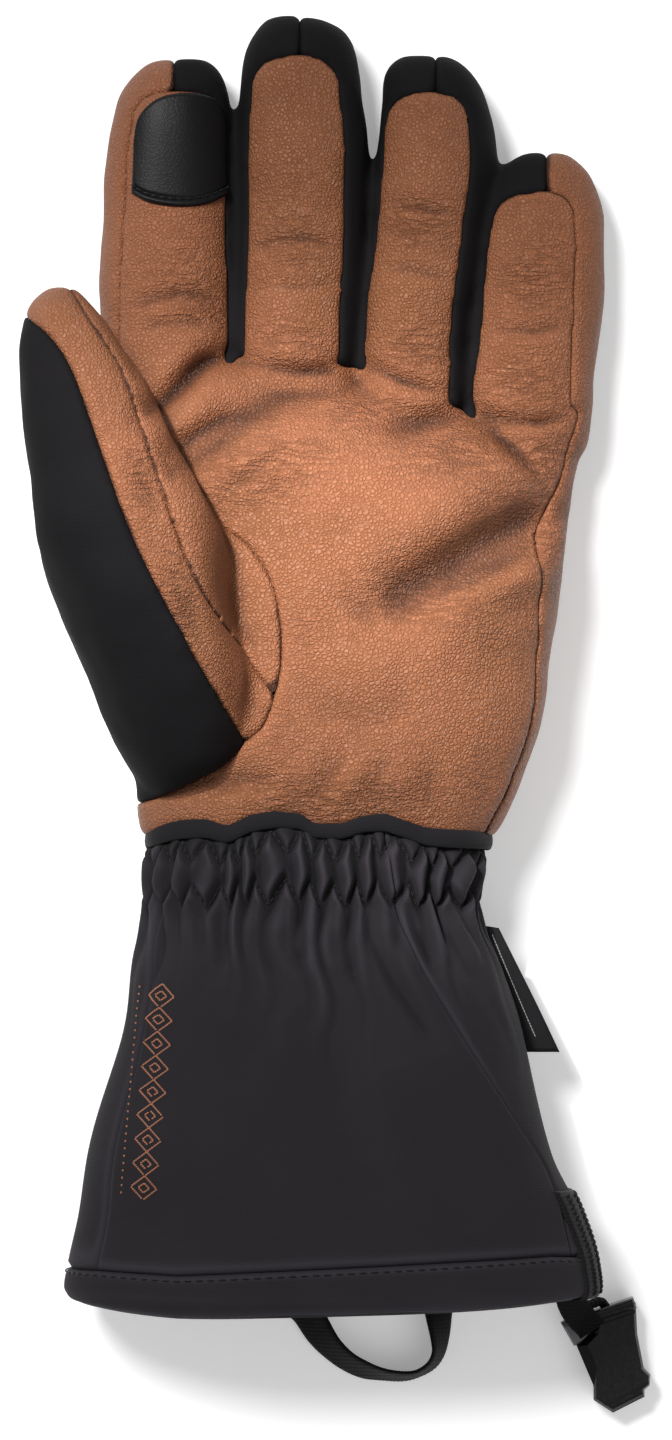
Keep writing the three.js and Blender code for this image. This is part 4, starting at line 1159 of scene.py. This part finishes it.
def cuff_panel(name, turn_from, turn_to, first, last, material, node, steps, roll=1.3, out=0.0):
    """A sewn panel of the cuff between two seams, as a shell with rolled edges."""
    columns, rows = steps
    at = (first + (last - first) * np.linspace(0, 1, rows) ** (1.3 if first == 0 else 1.0))[:, None]
    share = np.linspace(0, 1, columns)[None, :]
    begin = turn_from(at)
    turn = begin + (turn_to(at) - begin) * share
    at = np.broadcast_to(at, turn.shape)
    towards = at / HEM_AT if last <= HEM_AT else 0.72 + 0.28 * (1 - at) / (1 - HEM_AT)
    if material is CUFF_CLOTH:
        at = at - hem_tilt(cuff_points(at, turn)) * np.clip(towards, 0, 1) ** 2
    drop = rolled(cuff_points(at, turn), roll)
    shown = on_cuff(at, turn, drop + out)
    inside = cuff_points(at, turn, CUFF_WALL)
    inside = wrist_lift(inside.reshape(-1, 3)).reshape(shown.shape)
    inside[..., 2] = np.maximum(inside[..., 2], 1.2)
    obj = closed_patch(name, shown, inside)
    shadow = np.tile(0.9 * np.exp(-(at.reshape(-1) / 0.022) ** 2), 2)
    paint_crease_shade(obj, 14, 2.2, extra_shade=shadow)
    return fit(obj, material, [node])


HEM_AT = 1 - HEM_HEIGHT / CUFF_LENGTH
FRONT_LEFT = table("at x", [(0.0, 0.03), (0.4, 0.04), (1.0, 0.06)])
FRONT_RIGHT = table("at x", [
    (0.0, 0.085), (0.12, 0.105), (0.36, 0.21), (0.62, 0.35), (0.74, 0.41), (0.9, 0.445), (1.0, 0.455),
])


def front_left_turn(at):
    left = cuff_section(at)[0]
    return cuff_turn_at_x(at, left + column(FRONT_LEFT, "x", at) * CUFF_WIDTH)


def front_right_turn(at):
    return cuff_turn_at_x(at, column(FRONT_RIGHT, "x", at) * CUFF_WIDTH)


def turn_at_height(z):
    return lambda at: cuff_turn_at_z(at, z + 0 * at)


def fixed_turn(turn):
    return lambda at: turn + 0 * at


SIDE_SEAM_HEIGHT = 12.0
side_turn = turn_at_height(SIDE_SEAM_HEIGHT)


def full_turn(at):
    return side_turn(at) + 2 * math.pi


def make_cuff():
    for name, begin, end, steps in (
        ("cuff_front", front_left_turn, front_right_turn, (240, 180)),
        ("cuff_side", front_right_turn, side_turn, (130, 190)),
        ("cuff_back", front_left_turn, full_turn, (200, 90)),
    ):
        cuff_panel(name, begin, end, 0.0, HEM_AT, CUFF_CLOTH, name + "_panel", steps)
    begin, end = fixed_turn(-0.5 * math.pi), fixed_turn(1.5 * math.pi - 1e-3)
    cuff_panel("cuff_hem_soft", begin, end, HEM_AT, 1.0, CUFF_CLOTH, "cuff_hem", (420, 26), 1.8)


BINDING_MIDDLE = WRIST_Y - 0.8
BINDING_HALF_WIDTH = 2.3
BINDING_HALF_THICK = 0.9


def make_binding():
    """A narrow rolled tape over the leather's lower edge, along its wave."""
    sides, around = 12, 320
    (middle_x, middle_z), steps, reach = WRIST_SKIN
    turn = 2 * math.pi * np.arange(around) / around - math.pi
    size = np.interp(turn, steps, reach, period=2 * math.pi) - 1.0
    rings = []
    for a in 2 * math.pi * np.arange(sides) / sides:
        out = size + BINDING_HALF_THICK * math.cos(a)
        y = np.full(around, BINDING_MIDDLE + BINDING_HALF_WIDTH * math.sin(a))
        rings.append(np.stack([middle_x + out * np.cos(turn), y, middle_z + out * np.sin(turn)], 1))
    points = wrist_lift(np.stack(rings, 1).reshape(-1, 3))
    points[:, 2] = np.maximum(points[:, 2], 0.0)
    obj = smooth_body("wrist_binding_roll", points, tube_faces(around, sides, closed=True))
    paint_crease_shade(obj, 3)
    fit(obj, TAPE, ["wrist_binding"])


# Stitches

# Places along a stitch: share of its length, share of its thickness, and how high it lies
STITCH_SHAPE = [(0.0, 0.4, -0.6), (0.2, 0.95, 0.3), (0.5, 1.0, 0.5), (0.8, 0.95, 0.3), (1.0, 0.4, -0.6)]


def stitches(name, starts, ends, ups, radius, material, slot):
    """Short threads between points, each pinched down at both ends, as one mesh."""
    run = ends - starts
    along = unit(run)
    side = unit(np.cross(along, ups))
    top = np.cross(side, along)
    sides = 5
    rings = []
    for share, size, lift in STITCH_SHAPE:
        for a in 2 * math.pi * np.arange(sides) / sides:
            rings.append(starts + run * share + side * (radius * size * math.cos(a))
                         + top * (radius * (size * math.sin(a) + lift)))
    points = np.stack(rings, 1)
    count, per = points.shape[:2]
    one = tube_faces(len(STITCH_SHAPE), sides) + [range(sides), range(per - sides, per)]
    faces = [[i + n * per for i in face] for n in range(count) for face in one]
    fit(smooth_body(name, points.reshape(-1, 3), faces), material, ())


def flat_stitches(name, line, length, gap, *finish):
    starts, ends = dashes(line, length, gap)
    stitches(name, starts, ends, np.tile((0.0, 0.0, 1.0), (len(starts), 1)), *finish)


def cuff_stitches(name, pairs, radius, material, slot="cuff_cloth"):
    """Stitches on the cuff from pairs of starts and ends."""
    starts, ends = (np.vstack(part) for part in zip(*pairs))
    up = unit(starts * (0.6, 0, 1) - (-3, 0, 18))
    stitches(name, starts, ends, up, radius, material, slot)


def dashes(line, length, gap):
    """Starts and ends of even stitches along a line of points."""
    run = run_along(line)
    begin = np.arange(0, run[-1] - length, length + gap)
    return [np.stack([np.interp(s, run, axis) for axis in line.T], 1) for s in (begin, begin + length)]


def make_gather_stitches():
    turn = np.linspace(-0.25, 2.95, 3000)
    lines = [on_cuff(line_at, turn, 0.1) for line_at in row_lines(pleat_phase(turn))]
    cuff_stitches("gather_stitches", [dashes(line, 1.5, 0.5) for line in lines], 0.2, THREAD)


def make_hem_stitches():
    turn = np.linspace(-0.4, 3.6, 1500)
    at = np.full(len(turn), HEM_AT + 0.012)
    at = at - hem_tilt(cuff_points(at, turn))
    cuff_stitches("hem_stitches", [dashes(on_cuff(at, turn, 0.1), 2.0, 0.9)], 0.2, THREAD)


# Small embroidered border on the thumb side of the cuff: two crossing zigzags beside a row of dots

MOTIF_FROM = (-43.4, -66.5)
MOTIF_TO = (-48.4, -119.5)
MOTIF_HEIGHT = 6.6
MOTIF_COUNT = 9


def motif_strokes():
    """Strokes in the border's own places: along the column from 0 to 1, and across it from -1 to 1."""
    strokes = []
    step = 1 / MOTIF_COUNT
    for k in range(MOTIF_COUNT):
        a, m, b = k * step, (k + 0.5) * step, (k + 1) * step
        strokes += [[(a, 0), (m, 1)], [(m, 1), (b, 0)], [(a, 0), (m, -1)], [(m, -1), (b, 0)]]
        near, far = m - 0.2 * step, m + 0.2 * step
        diamond = [(near, 0), (m, 0.42), (far, 0), (m, -0.42), (near, 0)]
        strokes += [list(pair) for pair in zip(diamond, diamond[1:])]
    return strokes + [[(t, -1.7), (t + 0.014, -1.7)] for t in np.arange(0.02, 0.98, 0.034)]


def make_motif():
    start, end = np.array(MOTIF_FROM), np.array(MOTIF_TO)
    along = end - start
    across = np.array([-along[1], along[0]]) / np.linalg.norm(along) * MOTIF_HEIGHT / 2
    share = np.linspace(0, 1, 14)[:, None]
    pairs = []
    for (t0, c0), (t1, c1) in motif_strokes():
        flat = start + along * (t0 + (t1 - t0) * share) + across * (c0 + (c1 - c0) * share)
        at = (CUFF_TOP - flat[:, 1]) / CUFF_LENGTH
        pairs.append(dashes(on_cuff(at, cuff_turn_at_x(at, flat[:, 0]), 0.05), 0.62, 0.02))
    cuff_stitches("cuff_motif", pairs, 0.24, COPPER_THREAD)


# Ribbed band of the side pocket

BAND_ROWS = (0.22, 0.5, 0.78)
BAND_AT = (0.735, 0.985)
BAND_HEIGHTS = (17.0, 42.0)
BAND_RIB = 0.07


def make_side_band():
    first, last = BAND_AT
    turn_low, turn_high = (turn_at_height(z) for z in BAND_HEIGHTS)
    cuff_panel("side_band_tape", turn_low, turn_high, first, last, WEBBING, "side_band",
               (40, 60), 0.7, 0.9)
    at = np.arange(first + 0.012, last - 0.012, 0.0115)
    span = turn_high(at) - turn_low(at)
    pairs = []
    for share in BAND_ROWS:
        turn = turn_low(at) + span * share
        reach = span * BAND_RIB
        pairs.append((on_cuff(at - 0.003, turn - reach, 1.05), on_cuff(at + 0.006, turn + reach, 1.05)))
    cuff_stitches("side_band_ribs", pairs, 0.38, WEBBING, "ribbed_elastic")


# Touch pad over the index fingertip

PAD_BOTTOM = [(-51.6, 130.4), (-47.0, 128.0), (-39.6, 126.9), (-33.0, 127.7), (-28.0, 130.2)]
PAD_TOP = [(-51.0, 143.5), (-49.6, 150.0), (-44.5, 154.4), (-37.0, 155.6), (-31.0, 154.2), (-28.4, 149.5)]
PAD_PROUD = 1.15


def finger_surface(finger, x, y, out):
    """Places on the front of a finger over x and y."""
    left, right, low, high = finger_section(finger, (y - FINGER_ROOT_Y) / finger["reach"])
    middle, half = (left + right) / 2, (right - left) / 2
    across = np.clip(np.abs(x - middle) / half, 0, 0.985)
    z = (low + high) / 2 + (high - low) / 2 * (1 - across ** ROUND_POWER) ** (1 / ROUND_POWER)
    lean = np.sign(x - middle) * across ** 3
    return np.stack([x + out * lean, y, z + out * (1 - 0.5 * across ** 3)], -1)


def make_touch_pad():
    finger = FINGERS[0]
    share = np.linspace(0, 1, 90)
    low, high = (
        np.stack([np.interp(share, np.linspace(0, 1, len(line)), axis) for axis in line.T], 1)
        for line in (smooth_line(PAD_BOTTOM, 12), smooth_line(PAD_TOP, 12))
    )
    flat = low[None] + (high - low)[None] * share[:, None, None]
    x, y = flat[..., 0], flat[..., 1]
    drop = rolled(np.stack([x, y, 0 * x], -1), 0.9)
    from_hem = y - low[None, :, 1]
    hem = 0.45 * np.exp(-((from_hem - 0.9) / 0.7) ** 2) - 0.45 * np.exp(-((from_hem - 2.2) / 0.45) ** 2)
    shown = finger_surface(finger, x, y, PAD_PROUD + drop + hem)
    pad = closed_patch("touch_pad_cap", shown, finger_surface(finger, x, y, -0.6 + 0 * x))
    paint_crease_shade(pad, 6)
    fit(pad, PAD, ["touch_pad"])
    x, y = (low + (0, 2.2)).T
    flat_stitches("touch_pad_stitches", finger_surface(finger, x, y, 1.0 + 0 * x), 1.5, 0.7,
                  0.22, THREAD, "pad_leather")


# Folded label in the cuff's side

LABEL_BACK = [(35.4, -52.0), (35.9, -56.0), (41.9, -74.0), (45.4, -84.0)]
LABEL_FOLD = [(40.0, -53.0), (43.5, -60.0), (49.5, -72.0), (55.2, -84.0)]
LABEL_Z = 19.7
LABEL_GAP = 0.35
LABEL_FLAT = 0.94
LABEL_HALF_THICK = 0.11
LABEL_LINE_AT = 0.62


def make_label():
    back, fold = smooth_line(LABEL_BACK, 10), smooth_line(LABEL_FOLD, 10)
    back[:, 0] -= 1.5
    bow = 0.5 * np.sin(np.linspace(0, 2.2, len(back)))
    fold_turn = np.linspace(0, math.pi / 2, 6)[1:]
    bend = LABEL_FLAT + (1 - LABEL_FLAT) * np.sin(fold_turn)
    across = np.concatenate([np.linspace(0, LABEL_FLAT, 16), bend])
    round_share = np.clip((across - LABEL_FLAT) / (1 - LABEL_FLAT), 0, 1)
    rise = np.sqrt(np.maximum(1 - round_share ** 2, 0)) * LABEL_GAP
    across = np.concatenate([across, across[::-1][1:]])
    rise = np.concatenate([rise, -rise[::-1][1:]])
    grid = np.stack([
        np.column_stack([back + (fold - back) * t, LABEL_Z + h + bow * t]) for t, h in zip(across, rise)
    ], 1)
    normal = unit(np.cross(np.gradient(grid, axis=1), np.gradient(grid, axis=0)))
    label = closed_patch("care_label_fold", grid + normal * LABEL_HALF_THICK,
                         grid - normal * LABEL_HALF_THICK)
    paint_crease_shade(label, 3)
    fit(label, LABEL, ["care_label"])
    height = LABEL_Z + LABEL_GAP + 0.14 + bow * LABEL_LINE_AT
    line = np.column_stack([back + (fold - back) * LABEL_LINE_AT, height])[4:-3]
    flat_stitches("care_label_line", line, 0.8, 0.02, 0.14, PALE_THREAD, "label_cloth")


# Webbing

def ribbon(name, stops, width, thick, node, ribs):
    """A flat strap along stops of x, y, z and edge: how far it has turned on edge, from 0 to 1."""
    line = smooth_line([stop[:3] for stop in stops], 14)
    lean = smooth_line([(stop[3], 0) for stop in stops], 14)[:, :1] * math.pi / 2
    along = unit(np.gradient(line, axis=0))
    flat = unit(np.cross((0, 0, 1.0), along))
    across = flat * np.cos(lean) + np.cross(along, flat) * np.sin(lean)
    through = np.cross(along, across)
    sides = np.linspace(-1, 1, 25)
    rib = ribs * (0.5 + 0.5 * np.cos(2 * math.pi * run_along(line) / 0.9))[:, None] * (np.abs(sides) < 0.86)
    level = (thick / 2 * (1 - 0.5 * np.abs(sides) ** 8) + rib)[..., None]
    middle = line[:, None] + across[:, None] * (sides[None, :, None] * width / 2)
    strap = closed_patch(name, middle + through[:, None] * level, middle - through[:, None] * level)
    paint_crease_shade(strap, 3)
    fit(strap, WEBBING, [node])


LOOP_STOPS = [
    (-10.8, -141.6, 3.65, 0.0), (-9.5, -146.5, 3.7, 0.15), (-7.6, -150.2, 4.6, 0.42),
    (-4.8, -155.0, 4.9, 0.5), (-1.6, -159.0, 5.2, 0.6), (2.2, -162.2, 5.2, 0.66), (6.6, -164.4, 5.3, 0.7),
    (11.6, -165.6, 5.4, 0.8), (16.4, -166.0, 5.4, 0.84), (20.0, -165.3, 5.4, 0.88),
    (23.4, -163.2, 5.4, 0.85), (25.2, -160.0, 5.4, 0.8), (25.6, -156.0, 5.6, 0.7),
    (25.3, -150.8, 6.0, 0.56), (24.8, -146.0, 5.8, 0.4), (24.4, -141.0, 5.6, 0.2),
]
TAB_STOPS = [
    (57.4, -141.5, 15.2, 0.0), (58.0, -145.5, 14.8, 0.0), (59.2, -148.6, 12.9, 0.0),
    (61.0, -151.0, 11.4, 0.0), (62.8, -152.8, 10.9, 0.0), (63.8, -154.2, 10.9, 0.0),
]


CORD_STOPS = [(60.45, -146.4, 10.2), (62.6, -147.9, 8.6), (65.6, -147.2, 6.4), (67.1, -148.6, 5.3),
              (67.1, -151.6, 5.0)]
CORD_DIAMETER = 2.6


def make_drawcord():
    """A round braided cord from the hem's corner into the lock."""
    line = smooth_line(CORD_STOPS, 30)
    along = unit(np.gradient(line, axis=0))
    side = unit(np.cross(along, (0, 0, 1.0)))
    top = np.cross(side, along)
    run = run_along(line) * 2.4
    sides = 40
    rings = []
    for a in 2 * math.pi * np.arange(sides) / sides:
        braid = np.sin(4 * a + run) * np.sin(4 * a - run)
        radius = (CORD_DIAMETER / 2 - 0.1 + 0.1 * braid)[:, None]
        rings.append(line + side * radius * math.cos(a) + top * radius * math.sin(a))
    cord = smooth_body("drawcord_braid", *loft(np.stack(rings, 1)))
    paint_crease_shade(cord, 3)
    fit(cord, WEBBING, ["drawcord"])


make_cuff()
make_binding()
make_gather_stitches()
make_hem_stitches()
make_motif()
make_side_band()
make_touch_pad()
make_label()
ribbon("wrist_loop_strap", LOOP_STOPS, 10.0, 1.1, "wrist_loop", 0.12)
ribbon("lock_tab_strap", TAB_STOPS, 7.4, 1.0, "lock_tab", 0.10)
make_drawcord()

# Cord lock and its spring button

LOCK_TOP = (69.15, -146.3)
LOCK_SIZE = (18.5, 28.7, 10.0)
# Corners as shares of the lock's width from its middle and its length from its top, and each side's chamfer
LOCK_CORNERS = [
    (-0.31, 0.12, 0.7), (0.24, 0.0, 0.7), (0.3, 0.04, 0.9), (0.32, 0.31, 0.9), (0.41, 0.61, 0.6),
    (0.5, 0.67, 0.5), (0.49, 0.76, 0.6), (0.42, 0.8, 0.6), (0.42, 0.86, 1.4), (-0.01, 1.0, 1.0),
    (-0.27, 0.89, 0.8), (-0.27, 0.77, 2.6), (-0.5, 0.42, 1.6), (-0.35, 0.32, 2.6),
]
BUTTON_SIZE = (5.0, 6.0)
BUTTON_PROUD = 6.5
BUTTON_DEPTH = 3.6
BUTTON_ROOM = 0.15
BUTTON_WAY = (0.5, -0.866)


def moved_sides(corners, distances):
    """An outline with each side moved inwards by its own distance."""
    after = np.roll(corners, -1, axis=0)
    turned = np.sign(np.sum(corners[:, 0] * after[:, 1] - after[:, 0] * corners[:, 1]))
    ways = unit(after - corners)
    shifts = np.column_stack([-ways[:, 1], ways[:, 0]]) * turned * np.reshape(distances, (-1, 1))
    result = []
    for k, corner in enumerate(corners):
        (first, second), (one, two) = ways[[k - 1, k]], shifts[[k - 1, k]]
        cross = first[0] * second[1] - first[1] * second[0]
        if abs(cross) < 0.2:
            result.append(corner + (one + two) / 2)
            continue
        gap = two - one
        result.append(corner + one + first * (gap[0] * second[1] - gap[1] * second[0]) / cross)
    return np.array(result)


def chamfered(name, corners, distances, low, high, edge=0.8):
    """A plate with rounded edges below and a chamfer of its own on each upper side."""
    distances = np.asarray(distances, float)
    even = np.full(len(corners), 1.0)
    levels = [(low, even * edge * 0.7), (low + edge * 0.3, even * edge * 0.25), (low + edge, even * 0),
              (high - 1.6 * edge, even * 0), (high - 0.35 * edge, distances * 0.65), (high, distances)]
    rings = [np.column_stack([moved_sides(corners, by), np.full(len(corners), z)]) for z, by in levels]
    points, faces = loft(np.array(rings))
    return outward(mesh_object(name, points, faces))


def bar_corners(mouth, way, first, last, width):
    across = np.array([-way[1], way[0]]) * width / 2
    near, far = mouth + way * first, mouth + way * last
    return np.array([near - across, near + across, far + across, far - across])


def side_strip(first, second, near, far, past_first, past_second):
    """A strip along the side between two corners, from one distance inwards to another."""
    along = unit(second - first)
    down = np.array([along[1], -along[0]])
    begin, end = first - along * past_first, second + along * past_second
    return np.array([begin + down * near, end + down * near, end + down * far, begin + down * far])


def make_lock():
    corners = np.array(LOCK_TOP) + np.array(LOCK_CORNERS)[:, :2] * (LOCK_SIZE[0], -LOCK_SIZE[1])
    height = LOCK_SIZE[2]
    body = chamfered("cord_lock_case", corners, [corner[2] for corner in LOCK_CORNERS], 0.0, height - 0.4)
    way = unit(np.array(BUTTON_WAY))
    mouth = (corners[-2] + corners[-1]) / 2
    width, thick = BUTTON_SIZE
    low, high = (height - thick) / 2, (height + thick) / 2
    hole = bar_corners(mouth, way, -4, BUTTON_DEPTH, width + 2 * BUTTON_ROOM)
    cut(body, prism("pocket", hole, low - BUTTON_ROOM, high + BUTTON_ROOM))
    top, foot = corners[:2], corners[[9, 8]]
    cut(body, prism("groove", side_strip(*top, 2.9, 3.7, 2, 2), height - 1.3, height + 2))
    cut(body, prism("step", side_strip(*foot, -2.4, -3.0, 6, 3), height - 0.9, height + 2))
    bar = side_strip(*top, -0.1, 2.7, 0.5, 0.5)
    flange = chamfered("flange", bar, [0.55] * 4, 1.0, height + 0.3, 0.6)
    cut(flange, prism("line", side_strip(*bar[:2], 1.2, 1.5, 1, 1), height - 0.1, height + 2))
    cut(body, flange, "UNION")
    keep_value(body, "crease", np.zeros(len(body.data.vertices)))
    fit(body, BLACK_PLASTIC, ["cord_lock_body"])
    head = bar_corners(mouth, way, -BUTTON_PROUD, 0.2, width)
    button = chamfered("cord_lock_key", head, [1.6, 0.5, 0.4, 0.5], low, high, 0.6)
    fit(button, GREY_PLASTIC, ["cord_lock_button"], "lock_button")


make_lock()


# Stage, lights and camera

def make_stage():
    bpy.ops.mesh.primitive_plane_add(size=6.0, location=(0, 0, -0.0005))
    floor = bpy.context.object
    floor.name = "floor"
    material, nodes, shader = new_material("Pale floor")
    nodes.put(shader, Base_Color=(0.93, 0.93, 0.93, 1), Roughness=0.9, Emission_Color=(1, 1, 1, 1),
              Emission_Strength=0.28)
    floor.data.materials.append(material)


MAIN_LIGHT_POWER = 88
FILL_LIGHT_POWER = 9
PALM_LIGHT_POWER = 420
PALM_LIGHT_ANGLE = math.radians(5.4)


def light(name, kind, place, aim, power, **settings):
    data = bpy.data.lights.new(name, kind)
    data.energy = power
    for setting, value in settings.items():
        setattr(data, setting, value)
    lamp = bpy.data.objects.new(name, data)
    bpy.context.scene.collection.objects.link(lamp)
    lamp.location = place
    lamp.rotation_mode = "QUATERNION"
    lamp.rotation_quaternion = (Vector(aim) - Vector(place)).to_track_quat("-Z", "Y")


def make_lights():
    middle = (0, 0, VIEW_LEVEL)
    light("Main light", "AREA", (-1.00, 1.25, 2.75), middle, MAIN_LIGHT_POWER, shape="DISK", size=0.85)
    light("Fill light", "AREA", (0.8, -0.9, 1.9), middle, FILL_LIGHT_POWER, shape="DISK", size=1.8)
    light("Palm light", "SPOT", (-0.62, 0.95, 1.50), (0.004, 0.040, 0.04), PALM_LIGHT_POWER,
          spot_size=PALM_LIGHT_ANGLE, spot_blend=1.0, shadow_soft_size=0.05)
    world = bpy.data.worlds.new("Pale room")
    bpy.context.scene.world = world
    world.use_nodes = True
    Nodes(world.node_tree).put(world.node_tree.nodes["Background"], Color=(1, 1, 1, 1), Strength=0.30)


CAMERA_DISTANCE = 2.5
VIEW_HEIGHT = 0.360
VIEW_LEVEL = 0.020
VIEW_MIDDLE = (-0.0006, -0.001)


def make_camera():
    data = bpy.data.cameras.new("Camera")
    data.sensor_fit = "VERTICAL"
    data.sensor_height = 24.0
    data.lens = data.sensor_height * CAMERA_DISTANCE / VIEW_HEIGHT
    camera = bpy.data.objects.new("Camera", data)
    bpy.context.scene.collection.objects.link(camera)
    camera.location = (VIEW_MIDDLE[0], VIEW_MIDDLE[1], VIEW_LEVEL + CAMERA_DISTANCE)
    bpy.context.scene.camera = camera
    bpy.context.scene.view_settings.view_transform = "Standard"


make_stage()
make_lights()
make_camera()
